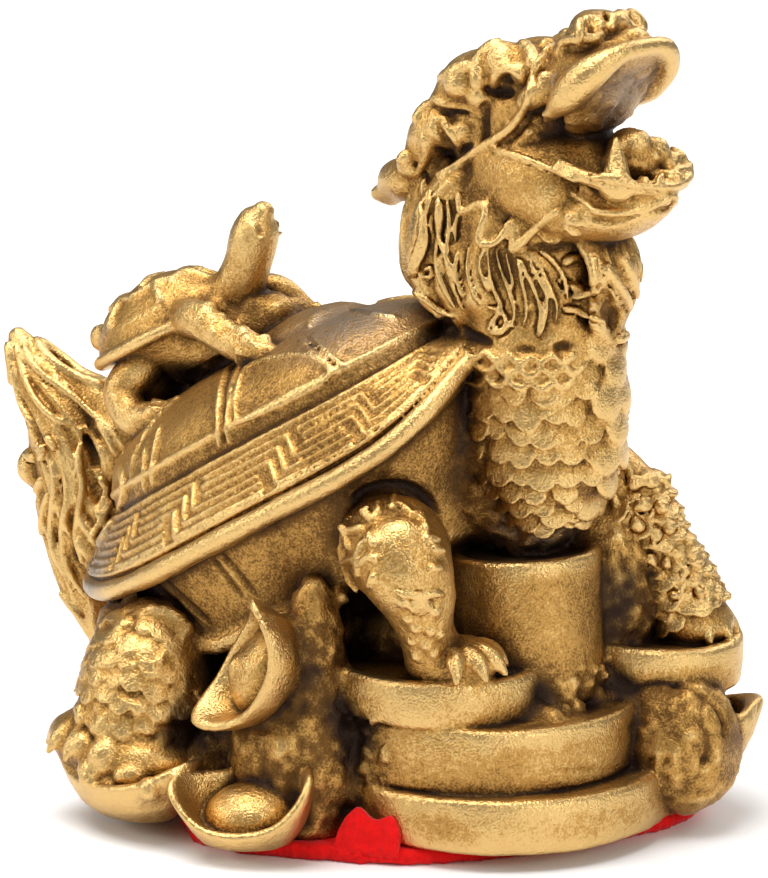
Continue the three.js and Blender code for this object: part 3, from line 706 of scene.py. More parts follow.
class Drawing:
    """The carver's drawing of the figure, seen as in the photograph, in mm from its middle.

    Lines on it are chased onto the wax along the carver's line of sight, on the near flank or, mirrored
    in an upright plane, on the far one. The drawing lies REACH from the eye, and the wax is looked for
    up to DEPTH before and behind it, in steps of CREEP or more, until it is TOUCH away. A stroke is
    followed in steps of FINE, is broken where it jumps by more than a LEAP, and is smoothed EVENED times.
    """

    REACH = 300.0
    DEPTH = 48.0
    TOUCH = 0.02
    CREEP = 0.03
    FINE = 0.3
    LEAP = 1.2
    EVENED = 4
    TAPER = ((0, 0.12, 0.85, 1), (0.7, 1, 1, 0.6))

    def __init__(self, wax: Wax, axis_x: float = 0.0, turn: float = 0.0) -> None:
        """Lays the drawing over the wax.

        Args:
            wax: The wax.
            axis_x: Where the mirror plane crosses the X axis.
            turn: The turn of that plane about Z, in radians.
        """
        self.wax = wax
        self.right = unit(np.cross([0.0, 0.0, 1.0], TO_EYE))
        self.up = np.cross(TO_EYE, self.right)
        self.pivot = np.array([axis_x, 0.0, 0.0])
        self.normal = np.array([-math.sin(turn), math.cos(turn), 0.0])

    def sight(self, flat: Array, mirrored: bool) -> tuple[Array, Array]:
        """Gives the eye and the lines of sight through places on the drawing."""
        ways = unit(np.outer(flat[:, 0], self.right) + np.outer(flat[:, 1], self.up) - TO_EYE * self.REACH)
        if not mirrored:
            return EYE, ways
        eye = EYE - self.pivot
        eye = eye - 2 * (eye @ self.normal) * self.normal + self.pivot
        return eye, ways - 2 * np.outer(ways @ self.normal, self.normal)

    def chase(self, flat: Array, mirrored: bool) -> Run:
        """Chases places on the drawing onto the wax.

        Args:
            flat: Places on the drawing, right and up from its middle.
            mirrored: True for the far flank.

        Returns:
            The places on the wax, the directions towards the carver, and which of them lie on the wax.
        """
        eye, ways = self.sight(np.asarray(flat, float), mirrored)
        gone = np.full(len(ways), self.REACH - self.DEPTH)
        hit = np.zeros(len(ways), bool)
        while True:
            open_ = np.flatnonzero(~hit & (gone < self.REACH + self.DEPTH))
            if not len(open_):
                break
            room = self.wax.read(self.wax.distance, eye + ways[open_] * gone[open_, None])
            hit[open_[room < self.TOUCH]] = True
            gone[open_] += np.where(room < self.TOUCH, 0, np.maximum(room, self.CREEP))
        return eye + ways * gone[:, None], -ways, hit

    def traced(self, strokes: Sequence[Stroke], flank: Flank) -> list[Run]:
        """Traces strokes over the wax.

        Args:
            strokes: The half width of each in mm, and its places on the drawing.
            flank: The flanks to trace them on.

        Returns:
            For each unbroken run the places on the wax, the directions to the carver and the half widths.
        """
        paths = []
        for _, points in strokes:
            path = np.column_stack([np.array(points, float), np.zeros(len(points))])
            length = np.linalg.norm(np.diff(path, axis=0), axis=1).sum()
            paths.append(along_path(path, np.linspace(0, 1, max(7, int(length / self.FINE))))[:, :2])
        ends = np.cumsum([len(path) for path in paths])[:-1]
        runs = []
        for mirrored in flank.value:
            found = [np.split(part, ends) for part in self.chase(np.vstack(paths), mirrored)]
            for (girth, _), places, toward, hit in zip(strokes, *found):
                leap = np.linalg.norm(np.diff(places, axis=0), axis=1) > self.LEAP
                leap |= ~hit[1:] | ~hit[:-1]
                for run in np.split(np.arange(len(places)), np.flatnonzero(leap) + 1):
                    if len(run) < 4:
                        continue
                    way, out = places[run].copy(), toward[run]
                    for _ in range(self.EVENED):
                        way[1:-1] = way[1:-1] * 0.5 + (way[:-2] + way[2:]) * 0.25
                    t = np.linspace(0, 1, len(run))
                    runs.append((way, out, girth * np.interp(t, *self.TAPER)))
        return runs

    def raise_lines(self, strokes: Sequence[Stroke], wear: Wear = Wear.CARVED, lift: float = 0.3,
                    moat: float = 0.0, flank: Flank = Flank.BOTH) -> None:
        """Rolls strokes onto the wax.

        Args:
            strokes: The strokes.
            wear: How their skin came out.
            lift: How much of their half width stands above the wax.
            moat: How much wider than a stroke the groove is that it is bedded in, in mm.
            flank: The flanks that they lie on.
        """
        runs = self.traced(strokes, flank)
        if moat:
            self.wax.cut(rolled(*((way, width + moat) for way, _, width in runs)), 0.05)
        rolls = [(way + out * lift * width[:, None], width) for way, out, width in runs]
        self.wax.weld(rolled(*rolls, sides=10), wear, 0.06)

    def engrave(self, strokes: Sequence[Stroke], flank: Flank = Flank.BOTH) -> None:
        """Cuts strokes into the wax."""
        self.wax.cut(rolled(*((way, width) for way, _, width in self.traced(strokes, flank))), 0.1)

    def curls(self, marks: Sequence[Mark], girth: float, wear: Wear = Wear.CARVED,
              flank: Flank = Flank.BOTH) -> None:
        """Rolls small spiral curls onto the wax, each given by its place on the drawing and its radius."""
        strokes = []
        for index, (x, y, radius) in enumerate(marks):
            t = np.linspace(0, 1, 16)
            angle = GOLDEN_TURN * index + 2 * math.pi * 1.2 * t
            reach = radius * (1 - 0.75 * t)
            strokes.append((girth, np.stack([x + reach * np.cos(angle), y + reach * np.sin(angle)], 1)))
        self.raise_lines(strokes, wear, 0.5, 0.12, flank)

    def tufts(self, marks: Sequence[Mark], middle: tuple[float, float], girth: float, flank: Flank) -> None:
        """Rolls hooked tufts of hair onto the wax.

        Args:
            marks: The place of each on the drawing and its size.
            middle: The place that they point away from.
            girth: Their half width in mm.
            flank: The flanks that they lie on.
        """
        strokes = []
        for index, (x, y, size) in enumerate(marks):
            away = math.atan2(y - middle[1], x - middle[0]) + 0.9 * math.sin(GOLDEN_TURN * index)
            out = level(away)[:2]
            side = np.array([-out[1], out[0]]) * (1 if index % 2 else -1)
            t = np.linspace(0, 1, 9)[:, None]
            hook = np.array([x, y]) + out * size * (2.0 * t - 1.0) + side * size * 0.7 * t * t
            strokes.append((girth, hook))
        self.raise_lines(strokes, Wear.CARVED, 0.45, 0.0, flank)

    def beads(self, marks: Sequence[Mark], wear: Wear = Wear.CARVED, flank: Flank = Flank.BOTH,
              sunk: float = 0.3) -> None:
        """Sets beads on the wax.

        Args:
            marks: The place of each on the drawing and its radius.
            wear: How their skin came out.
            flank: The flanks that they lie on.
            sunk: How far they are pressed in, as a share of the radius.
        """
        beads = Scales()
        for mirrored in flank.value:
            places, toward, hit = self.chase(np.array(marks)[:, :2], mirrored)
            size = np.array(marks)[hit, 2:]
            beads.add(places[hit] - toward[hit] * size * sunk, toward[hit],
                      np.tile([0.0, 0.0, 1.0], (hit.sum(), 1)), size * np.ones(3), 0)
        self.wax.weld(beads.shape(), wear, 0.1)

    def grit(self, spots: Sequence[tuple[float, float, float, int]], rng: np.random.Generator,
             wear: Wear = Wear.FILLER) -> None:
        """Roughens spots of the wax with grains.

        Args:
            spots: The place of each on the drawing, its reach in mm and its number of grains.
            rng: The source of the grains' places and sizes.
            wear: How their skin came out.
        """
        marks = [(x + reach * rng.normal(), y + reach * rng.normal(), rng.uniform(0.25, 0.7))
                 for x, y, reach, count in spots for _ in range(count)]
        self.beads(marks, wear, Flank.NEAR, 0.75)


def smallest(a: Array, b: Array, fillet: float) -> Array:
    """Gives the smaller of two distances, with a fillet between them."""
    low = np.minimum(a, b)
    if fillet <= 0:
        return low
    near = np.maximum(fillet - np.abs(a - b), 0) / fillet
    return (low - near * near * fillet / 4).astype(np.float32)


def moving_mean(values: Array, reach: int, axis: int) -> Array:
    """Averages an array over a window along one axis."""
    pad = [(0, 0)] * values.ndim
    pad[axis] = (reach + 1, reach)
    total = np.cumsum(np.pad(values, pad, mode="edge"), axis=axis, dtype=np.float64)
    width = 2 * reach + 1
    count = values.shape[axis]
    ahead = np.take(total, np.arange(width, width + count), axis=axis)
    behind = np.take(total, np.arange(0, count), axis=axis)
    return ((ahead - behind) / width).astype(np.float32)


class Grain:
    """A soft random field through space, the same on every run, that repeats after CELLS cells."""

    CELLS = 32

    def __init__(self, cell: float, seed: int) -> None:
        """Draws the random numbers for a cell size in mm."""
        self.cell = cell
        self.values = np.random.default_rng(seed).uniform(-1, 1, (self.CELLS + 1,) * 3)
        self.values[-1] = self.values[0]
        self.values[:, -1] = self.values[:, 0]
        self.values[:, :, -1] = self.values[:, :, 0]

    def at(self, points: Array) -> Array:
        """Reads the field at places in mm, from -1 to 1."""
        spot = np.mod(points / self.cell, self.CELLS)
        base = np.floor(spot).astype(int)
        share = spot - base
        return between(self.values, base % self.CELLS, share * share * (3 - 2 * share))


# Carved details that the forms share

def spiral(centre: Array, across: Array, up: Array, radius: float, turns: float, rise: float = 0.0) -> Array:
    """Draws a spiral from its outer end to its middle.

    Args:
        centre: Its middle, in the frame.
        across: The direction of its outer end.
        up: The direction that it first turns towards.
        radius: Its outer radius in mm.
        turns: How often it goes round.
        rise: How far its middle stands out, in mm.

    Returns:
        The places along it.
    """
    across, up = unit(np.asarray(across, float)), unit(np.asarray(up, float))
    out = unit(np.cross(across, up))
    t = np.linspace(0, 1, int(14 * turns) + 4)
    angle = 2 * math.pi * turns * t
    reach = radius * (1 - 0.82 * t)
    return (np.asarray(centre).reshape(3) + np.outer(reach * np.cos(angle), across)
            + np.outer(reach * np.sin(angle), up) + np.outer(rise * t, out))


def combed(limb: Limb, count: int, girth: float, sway: float, rng: np.random.Generator,
           span: tuple[float, float] = (0.0, 1.0), waves: float = 1.2) -> Strands:
    """Combs hair along a limb.

    Args:
        limb: The lock that the hair lies on.
        count: How many strands go round it.
        girth: Their half width as a share of the room that each one has.
        sway: How far they wave round the limb, in radians.
        rng: The source of their differences.
        span: Where along the limb they start and stop.
        waves: How many waves each strand makes.

    Returns:
        The strands.
    """
    strands = Strands()
    t = np.linspace(*span, 26)
    size = limb.section(t)[4].mean(1)
    for k in range(count):
        turn = 2 * math.pi * (k + 0.25 * rng.uniform(-1, 1)) / count
        phase = rng.uniform(-0.5, 0.5)
        angle = turn + sway * np.sin(2 * math.pi * waves * t + phase)
        room = 2 * math.pi * size / count
        lift = rng.uniform(-0.4, 0.05) * room
        strands.add(limb.surface(t, angle, lift)[0], girth * room * (1 + 0.2 * rng.uniform(-1, 1)))
    return strands


def shingles(limb: Limb, rows: Array, pitch: float, size: Sequence[float], tilt: float,
             heading: float = -1.0, keep: Optional[Callable[[Array, Array], Array]] = None,
             rng: Optional[np.random.Generator] = None) -> Scales:
    """Lays rows of overlapping scales round a limb, each row half a scale round from the last.

    Args:
        limb: The limb.
        rows: Where along it the rows lie.
        pitch: The distance between scales in a row, in mm.
        size: Half width, half length and thickness of a scale, in mm.
        tilt: How far the lips are lifted, in degrees.
        heading: 1 where the lips point to the limb's end, -1 where they point to its start.
        keep: Says from place along and angle which scales are there.
        rng: The source of the scales' differences.

    Returns:
        The scales.
    """
    scales = Scales()
    for index, t in enumerate(rows):
        half = limb.section(np.array([t]))[4].mean()
        count = max(5, round(2 * math.pi * half / pitch))
        angle = 2 * math.pi * (np.arange(count) + 0.5 * (index % 2)) / count
        spot = np.full(count, t)
        if rng is not None:
            angle = angle + rng.uniform(-0.2, 0.2, count) * 2 * math.pi / count
            spot = spot + rng.uniform(-0.2, 0.2, count) * (rows[1] - rows[0])
        if keep is not None:
            kept = keep(spot, angle)
            angle, spot = angle[kept], spot[kept]
        if len(angle):
            place, out, along = limb.surface(spot, angle)
            grown = np.array(size) * (1 if rng is None else rng.uniform(0.82, 1.15, (len(angle), 1)))
            scales.add(place, out, along * heading, grown, tilt)
    return scales


def claws(centre: Array, heading: float, spread: float, count: int, size: float) -> list[Shape]:
    """Makes arched claws that fan out from a foot's middle.

    Args:
        centre: The foot's middle, in the frame.
        heading: Where the middle claw points, in radians from +X.
        spread: The angle between the outer claws.
        count: How many there are.
        size: Their scale, in drawn millimetres.

    Returns:
        The claws.
    """
    # Along, up and half width of each stop of a claw, as shares of its size
    arch = [(0.3, 0.05, 0.34), (0.75, 0.34, 0.38), (1.1, 0.36, 0.34), (1.5, 0.14, 0.28), (1.85, -0.28, 0.1)]
    made = []
    for k in range(count):
        direction = level(heading + spread * (k / (count - 1) - 0.5))
        stops = [[*(np.asarray(centre).reshape(3) + direction * along * size * SHARE
                    + np.array([0, 0, up * size * SHARE])), half * size] for along, up, half in arch]
        made.append(Limb(stops, placer=np.atleast_2d).shape(20, 20))
    return made


# The base

@dataclass(frozen=True)
class Coin:
    """A cast coin, which is a little uneven. Its sizes are in mm and its tilt about Y in degrees."""

    x: float
    y: float
    radius: float
    thickness: float
    tilt: float = 0.0
    lip: bool = True

    def shape(self, bottom: float, grain: Grain) -> Shape:
        """Makes the coin on a given height in mm."""
        turn = circle(160)
        r, h = self.radius, self.thickness
        sunk = h - 0.35 if self.lip else h
        inner = r - 0.95
        profile = [(0.3, 0), (r - 0.4, 0), (r - 0.12, 0.1), (r, 0.35), (r + 0.06, h * 0.5), (r, h - 0.4),
                   (r - 0.1, h - 0.14), (r - 0.32, h), (inner + 0.12, h), (inner, h - 0.1),
                   (inner - 0.1, sunk), (0.3, sunk)]
        rings = []
        for reach, height in profile:
            spot = np.stack([reach * np.cos(turn), reach * np.sin(turn), np.full_like(turn, height)], 1)
            wobble = grain.at(spot * 0.6 + self.radius)
            spot[:, :2] *= (1 + 0.012 * wobble)[:, None]
            spot[:, 2] += 0.12 * grain.at(spot * 0.5 + 40) * (height > 0)
            rings.append(spot)
        points = np.array(rings) @ turned(self.tilt, 0).T
        return skin(points + np.array([self.x * SHARE, self.y * SHARE, bottom]))


@dataclass(frozen=True)
class Ingot:
    """A boat-shaped ingot with raised tips and an egg in its hollow. Its sizes are in drawn mm.

    Each row is a ring from the keel over the brim to the egg's top: how far it reaches along and across
    as shares of the half sizes, its height as a share of the waist, and its share of the tips' rise.
    """

    ROWS = (
        (0.05, 0.05, 0, 0), (0.48, 0.45, 0, 0), (0.62, 0.64, 0.14, 0.1), (0.8, 0.88, 0.42, 0.3),
        (0.93, 0.97, 0.72, 0.65), (0.985, 0.995, 0.92, 0.92), (1, 1, 0.97, 1.0), (0.98, 0.975, 1.02, 1.02),
        (0.92, 0.89, 1.03, 1.0), (0.86, 0.83, 0.99, 0.86), (0.8, 0.78, 0.88, 0.6), (0.7, 0.75, 0.78, 0.2),
        (0.64, 0.72, 0.76, 0), (0.6, 0.69, 0.8, 0), (0.55, 0.65, 0.9, 0), (0.46, 0.55, 1.03, 0),
        (0.32, 0.4, 1.13, 0), (0.15, 0.2, 1.2, 0), (0.03, 0.03, 1.21, 0),
    )

    length: float
    width: float
    tip: float
    waist: float

    def shape(self, keel: Array, along: Sequence[float], opening: Sequence[float]) -> Shape:
        """Makes the ingot.

        Args:
            keel: The middle of its keel, in the frame.
            along: The direction of its long axis.
            opening: The direction that its hollow faces.

        Returns:
            The ingot.
        """
        turn = circle(120)
        rise = (self.tip - self.waist) * np.abs(np.cos(turn)) ** 3
        rings = np.array([np.stack([
            a * self.length / 2 * np.cos(turn), b * self.width / 2 * np.sin(turn),
            self.waist * base + rise * lift], 1) for a, b, base, lift in self.ROWS]) * SHARE
        up = unit(np.array(opening, float))
        forward = unit(np.array(along, float) - up * (up @ np.array(along)))
        basis = np.stack([forward, np.cross(up, forward), up])
        return skin(rings @ basis + np.asarray(keel).reshape(3))


CREASES: list[Stroke] = [
    (0.24, [(17.7, -17.9), (18.8, -17.5), (20.2, -17.4), (21.6, -17.7), (23, -18.4), (23.6, -19),
        (24.3, -20), (24.4, -21.2), (24.2, -21.8)]),
    (0.2, [(23, -18.4), (22.5, -19.9), (23, -21), (23.2, -22), (22.7, -23.4), (22, -24.8)]),
    (0.12, [(4, -20.5), (7, -20.5), (9.5, -20.5), (12.2, -20.2)]),
    (0.12, [(12.2, -23.7), (15.8, -23.6), (17.7, -23.4), (19.7, -22.6)]),
]


@dataclass
class Base:
    """The coins and ingots that the animal stands on, and the rough mass between them."""

    GRIT = [
        (-1.4, -20.1, 0.8, 18), (-1.4, -23.6, 0.9, 22), (-1.4, -27.2, 0.7, 12), (13.3, -17.9, 0.8, 16),
        (15.7, -16.9, 0.7, 14),
    ]

    wax: Wax
    bottom: Coin = Coin(7.0, 0.0, 12.3, 3.9, lip=False)
    middle: Coin = Coin(5.7, 0.0, 11.6, 4.6, lip=False)
    top: Coin = Coin(4.8, -4.5, 7.8, 3.2)
    drum: Coin = Coin(9.5, 0.0, 5.35, 10.5, tilt=-3)
    side: Coin = Coin(15.0, 8.4, 6.3, 3.5, tilt=2)
    under: Coin = Coin(14.6, 7.4, 6.0, 8.4, lip=False)
    low: Ingot = Ingot(10.4, 7.0, 5.6, 3.6)
    upright: Ingot = Ingot(10.6, 6.6, 5.2, 3.2)
    front: Ingot = Ingot(16.5, 10.5, 7.6, 6.2)
    rear: Ingot = Ingot(13.8, 7.8, 5.0, 3.6)
    ingot_sunk: float = -0.2

    def __post_init__(self) -> None:
        """Welds the base into the wax."""
        self.coins()
        self.mound()
        self.ingots()
        drawing = Drawing(self.wax)
        drawing.engrave(CREASES, Flank.NEAR)
        drawing.grit(self.GRIT, np.random.default_rng(SEED + 9))

    def coins(self) -> None:
        """Stacks the coins, with the creases between their layers."""
        grain = Grain(3.0, SEED)
        middle = FELT + self.bottom.thickness
        top = middle + self.middle.thickness
        self.wax.weld(self.bottom.shape(FELT, grain), Wear.RUBBED)
        self.wax.weld(self.middle.shape(middle, grain), Wear.RUBBED, 0.15)
        self.wax.weld(self.top.shape(top, grain), Wear.RUBBED, 0.15)
        self.wax.weld(self.drum.shape(top, grain), Wear.SAND, 0.15)
        self.wax.weld(self.under.shape(FELT + 0.6, grain), Wear.SAND, 0.3)
        self.wax.weld(self.side.shape(top, grain), Wear.RUBBED, 0.5)

    def mound(self) -> None:
        """Fills the room between the coins, the ingots and the belly with rough lumps."""
        for place, size in [
            ((-6, 0, 4), (10.5, 12, 9.2)), ((-3, -10.5, 5), (5, 5, 8.5)), ((-12, 0, 4), (7, 14.5, 6)),
            ((-17.6, 0, 12.6), (4.2, 12.6, 4.2)), ((13.5, 3.6, 7), (4, 5, 4.6)),
            ((1.5, 0.5, 13), (6.5, 7, 6.5)), ((11.8, 6, 16.2), (4.6, 4.2, 7.2)),
            ((18.4, 5.0, 6.2), (5.0, 4.2, 5.2)), ((9.0, 0.9, 21.6), (3.0, 3.3, 2.3)),
            ((12.4, -3.4, 8.6), (3.2, 3.0, 2.2)),
        ]:
            self.wax.weld(lump(at(place), size), Wear.FILLER, 0.6)

    def ingots(self) -> None:
        """Sets the ingots round the coins, by the places of their keels."""
        sunk = self.ingot_sunk
        for ingot, keel, along, opening in [
            (self.low, on_pad((-3.9, -14.6, sunk)), (0.95, 0.3, 0.08), (0.06, -0.5, 0.86)),
            (self.upright, at((-2.7, -12.4, 12.2)), (0.6, 0.18, 0.78), (-0.54, -0.78, 0.3)),
            (self.front, on_pad((15.6, 6.4, sunk)), (0.87, 0.5, 0), (0, 0, 1)),
            (self.rear, on_pad((-14.0, -13.9, sunk)), (0.94, -0.34, 0), (-0.1, -0.14, 0.98)),
            (self.rear, on_pad((-14.6, 12.4, sunk)), (0.96, 0.28, 0), (-0.1, 0.1, 0.98)),
            (self.low, on_pad((-2.6, 12.6, sunk)), (0.97, -0.2, 0), (0, 0.3, 0.95)),
        ]:
            self.wax.weld(ingot.shape(keel, along, opening), Wear.RUBBED, 0.25)
        self.wax.weld(lump(at((-1.3, -11.3, 13.2)), (2.1, 2.2, 6.2)), Wear.FILLER, 1.2)


PLATE_RIDGES: list[Stroke] = [
    (0.22, [(-11.8, -0.6), (-11.9, 0.8), (-11.9, 2.5), (-11.7, 3.9), (-11.3, 4.9), (-10.7, 5.6),
        (-10.2, 5.9)]),
    (0.2, [(-11.1, -0.3), (-11.3, 1.1), (-11.1, 2.6), (-10.9, 3.9), (-10.5, 4.9), (-10.1, 5.6)]),
    (0.2, [(-10.6, 1.1), (-10.7, 2.6), (-10.4, 4.1), (-10.1, 4.9), (-9.3, 5.5), (-8, 5.8), (-6.6, 6.1),
        (-5.4, 6), (-4.3, 5.4), (-3.8, 4.7), (-4.2, 4.2), (-5.7, 3.3), (-7.7, 2.3), (-9.4, 1.5),
        (-10.6, 1.1)]),
    (0.22, [(-6.3, 7.3), (-5.4, 6.5), (-4.5, 5.7), (-3.7, 5), (-3.2, 4.6)]),
    (0.22, [(-5.5, 7.6), (-4.6, 6.7), (-3.7, 5.9), (-2.7, 5)]),
    (0.26, [(-5.4, 7.9), (-4.6, 8.5), (-3.9, 9.3), (-3.1, 9.2), (-1.7, 9.1), (-0.3, 8.8), (1.1, 8.6)]),
    (0.22, [(-15.9, 1.1), (-16.3, -0.1), (-16.5, -1.2), (-16.6, -2.6), (-16.5, -3.4)]),
    (0.2, [(-17, -0.1), (-17.2, -1.5), (-17.2, -2.9), (-17.1, -3.7)]),
]

PLATE_GROOVES: list[Stroke] = [
    (0.18, [(-11.5, -0.4), (-11.6, 1.1), (-11.5, 2.6), (-11.3, 4.1), (-10.9, 5.1), (-10.4, 5.6)]),
    (0.18, [(-5.9, 7.5), (-5, 6.6), (-4.1, 5.8), (-3.2, 5)]),
]

WALL_GROOVES: list[Stroke] = [
    (0.27, [(-16.7, -10), (-15.1, -11.6), (-13.5, -13.1)]),
    (0.27, [(-15.9, -9.9), (-14.1, -11.6), (-12.3, -13.3)]),
    (0.27, [(-12.6, -8.1), (-11.3, -9.8), (-10, -11.5)]),
    (0.27, [(-12, -7.7), (-10.6, -9.4), (-9.1, -11.2)]),
    (0.14, [(-8, -5.9), (-6.9, -7.2), (-5.7, -8.6)]),
    (0.18, [(-12.3, -14.2), (-10, -13.4), (-7.8, -12.6)]),
]


@dataclass
class Shell:
    """The dragon turtle's shell, with its fret, its plates and the wall below its rim.

    Places on it are given by a turn from the tail, positive on the left flank, and a share across. Its
    sizes are in drawn mm, and those of the fret in shares of the band's width.
    """

    wax: Wax
    middle: tuple[float, float, float] = (-8.5, 0.0, 24.5)
    half_length: float = 20.0
    half_width: float = 14.5
    rim_height: float = -2.7
    rim_rise_front: float = 5.4
    rim_rise_rear: float = 3.3
    dome_height: float = 5.9
    dome_curve: float = 2.2
    foot_middle: float = -7.4
    foot_length: float = 14.4
    foot_width: float = 10.8
    foot_height: float = 13.6
    fret_units: int = 15
    fret_lines: int = 3
    fret_pitch: float = 0.115
    fret_floor: float = 0.17

    def __post_init__(self) -> None:
        """Welds the shell into the wax and carves it."""
        self.body()
        self.drawing = Drawing(self.wax)
        self.lips()
        self.fret()
        self.plates()
        self.skirt()

    def tilted(self, places: Array) -> Array:
        """Turns places in the shell's own frame into places in the frame."""
        u, v, w = places[..., 0], places[..., 1], places[..., 2]
        cos, sin = math.cos(SHELL_TILT), math.sin(SHELL_TILT)
        x, _, z = self.middle
        return at(np.stack([x + u * cos - w * sin, v, z + u * sin + w * cos], -1))

    @staticmethod
    def power(value: Array, exponent: Union[float, Array]) -> Array:
        """Raises a number to a power and keeps its sign."""
        return np.sign(value) * np.abs(value) ** exponent

    def rim(self, turn: Array, inset: float = 0.0, lift: float = 0.0) -> Array:
        """Gives the egg-shaped rim, which rises to both ends, in the shell's own frame."""
        cos, sin = -np.cos(turn), np.sin(turn)
        exponent = np.where(cos > 0, 2 / 2.5, 2 / 2.1)
        u = (self.half_length - inset) * self.power(cos, exponent)
        v = (self.half_width - inset) * self.power(sin, exponent)
        reach = np.abs(u) / self.half_length
        raised = np.where(u > 0, self.rim_rise_front * reach ** 6, self.rim_rise_rear * reach ** 4)
        return np.stack([u, v, self.rim_height + raised + lift], -1)

    def dome(self, turn: Array, inwards: Array) -> Array:
        """Gives places on the dome, from 0 at its border to 1 at its top."""
        turn, inwards = np.broadcast_arrays(np.asarray(turn, float), np.asarray(inwards, float))
        rim = self.rim(turn)
        shrink = 1 - inwards
        swell = np.maximum(1 - shrink ** self.dome_curve, 0) ** (1 / self.dome_curve)
        length = np.where(rim[..., 0] > 0, 0.8, 0.74)
        return self.tilted(np.stack([
            rim[..., 0] * length * shrink - inwards * 1.2, rim[..., 1] * 0.75 * shrink,
            2.6 + (rim[..., 2] - self.rim_height) * 0.06 + self.dome_height * swell], -1))

    def band(self, turn: Array, inwards: Array) -> Array:
        """Gives places on the fret band, from 0 at the rim to 1 at the dome's border."""
        turn, inwards = np.broadcast_arrays(np.asarray(turn, float), np.asarray(inwards, float))
        low, high = self.tilted(self.rim(turn, 0.5, 0.3)), self.dome(turn, 0 * turn)
        return low + (high - low) * inwards[..., None]

    def foot(self, turn: Array, shrink: float = 1.0) -> Array:
        """Gives the line that the wall stands on."""
        cos, sin = -np.cos(turn), np.sin(turn)
        x = self.foot_middle + shrink * self.foot_length * self.power(cos, 0.75)
        taper = np.where(x > 0, 1 - 0.035 * x, 1.0)
        y = shrink * taper * self.foot_width * self.power(sin, 0.75)
        return at(np.stack([x, y, self.foot_height + np.maximum(x + 9.5, 0) * 0.5], -1))

    def wall(self, turn: Array, upwards: Array) -> Array:
        """Gives places on the wall, from 0 at its foot to 1 under the rim."""
        turn, upwards = np.broadcast_arrays(np.asarray(turn, float), np.asarray(upwards, float))
        low, high = self.foot(turn), self.tilted(self.rim(turn, 2.2, -0.9))
        return low + (high - low) * upwards[..., None]

    @staticmethod
    def outward(surface: Callable[[Array, Array], Array], turn: Array, across: Array) -> Array:
        """Gives the outward direction of one of these surfaces."""
        small = 0.01
        along = surface(turn + small, across) - surface(turn - small, across)
        up = surface(turn, np.minimum(across + small, 1)) - surface(turn, across - small)
        return unit(np.cross(up, along))

    def line(self, surface: Callable[[Array, Array], Array], stops: Sequence[tuple[float, float]],
             lift: float = 0.0, fine: float = 1.5) -> Array:
        """Draws a line on one of these surfaces.

        Args:
            surface: The surface.
            stops: Turns in degrees and shares across that it runs through.
            lift: How far its places stand off the surface, in mm.
            fine: The turn between two of its places, in degrees.

        Returns:
            The places along it.
        """
        stops = np.array(stops, float)
        rows = [stops[:1]]
        for start, stop in zip(stops[:-1], stops[1:]):
            gap = np.hypot((stop - start)[0], (stop - start)[1] * 25)
            count = max(2, int(gap / fine))
            rows.append(start + (stop - start) * (np.arange(1, count + 1) / count)[:, None])
        spots = np.vstack(rows)
        turn, across = np.radians(spots[:, 0]), spots[:, 1]
        return surface(turn, across) + self.outward(surface, turn, across) * lift

    def body(self) -> None:
        """Welds the body: belly, wall, band and dome."""
        turn = np.linspace(-math.pi, math.pi, 540, endpoint=False)
        sag = np.array([0, 0, -1.3 * SHARE])
        rings = [self.foot(turn, 0.3) + sag, self.foot(turn, 0.6) + sag, self.foot(turn, 0.88) + sag * 0.5]
        rings += [self.wall(turn, up) for up in (0, 0.1, 0.3, 0.5, 0.7, 0.9, 1)]
        rings += [self.tilted(self.rim(turn, 1.5, -1.0)), self.tilted(self.rim(turn, 1.0, -0.7)),
                  self.tilted(self.rim(turn, 1.0, 0.1))]
        rings += [self.band(turn, across) for across in (0.2, 0.4, 0.6, 0.8, 0.94)]
        rings += [self.dome(turn, inwards)
                  for inwards in (0.003, 0.02, 0.06, 0.12, 0.2, 0.3, 0.42, 0.56, 0.72, 0.9)]
        self.wax.weld(skin(np.array(rings)), Wear.SAND, 0.3)

    def lips(self) -> None:
        """Rolls the rim's lip and the ridges of the border, and cuts the grooves beside them."""
        turns = np.linspace(-180, 180, 241)

        def edge(inset: float, lift: float) -> Array:
            """Draws a line round the rim."""
            return self.tilted(self.rim(np.radians(turns), inset, lift))

        def round_(surface: Callable[[Array, Array], Array], across: float, lift: float) -> Array:
            """Draws a line right round the band or the dome."""
            return self.line(surface, [(turn, across) for turn in turns], lift)

        self.wax.weld(rolled((edge(0.72, -0.36), 0.74), sides=20), Wear.RUBBED, 0.15)
        self.wax.cut(rolled((edge(1.75, -1.1), 0.3)), 0.2)
        self.wax.cut(rolled((round_(self.band, 0.13, 0.1), 0.16)), 0.1)
        border = [(round_(self.band, 0.87, 0.0), 0.24), (round_(self.dome, 0.012, -0.04), 0.3),
                  (round_(self.band, 0.1, -0.02), 0.2)]
        self.wax.weld(rolled(*border, sides=12), Wear.RUBBED, 0.08)
        self.wax.cut(rolled((round_(self.band, 0.945, 0.05), 0.2)), 0.1)

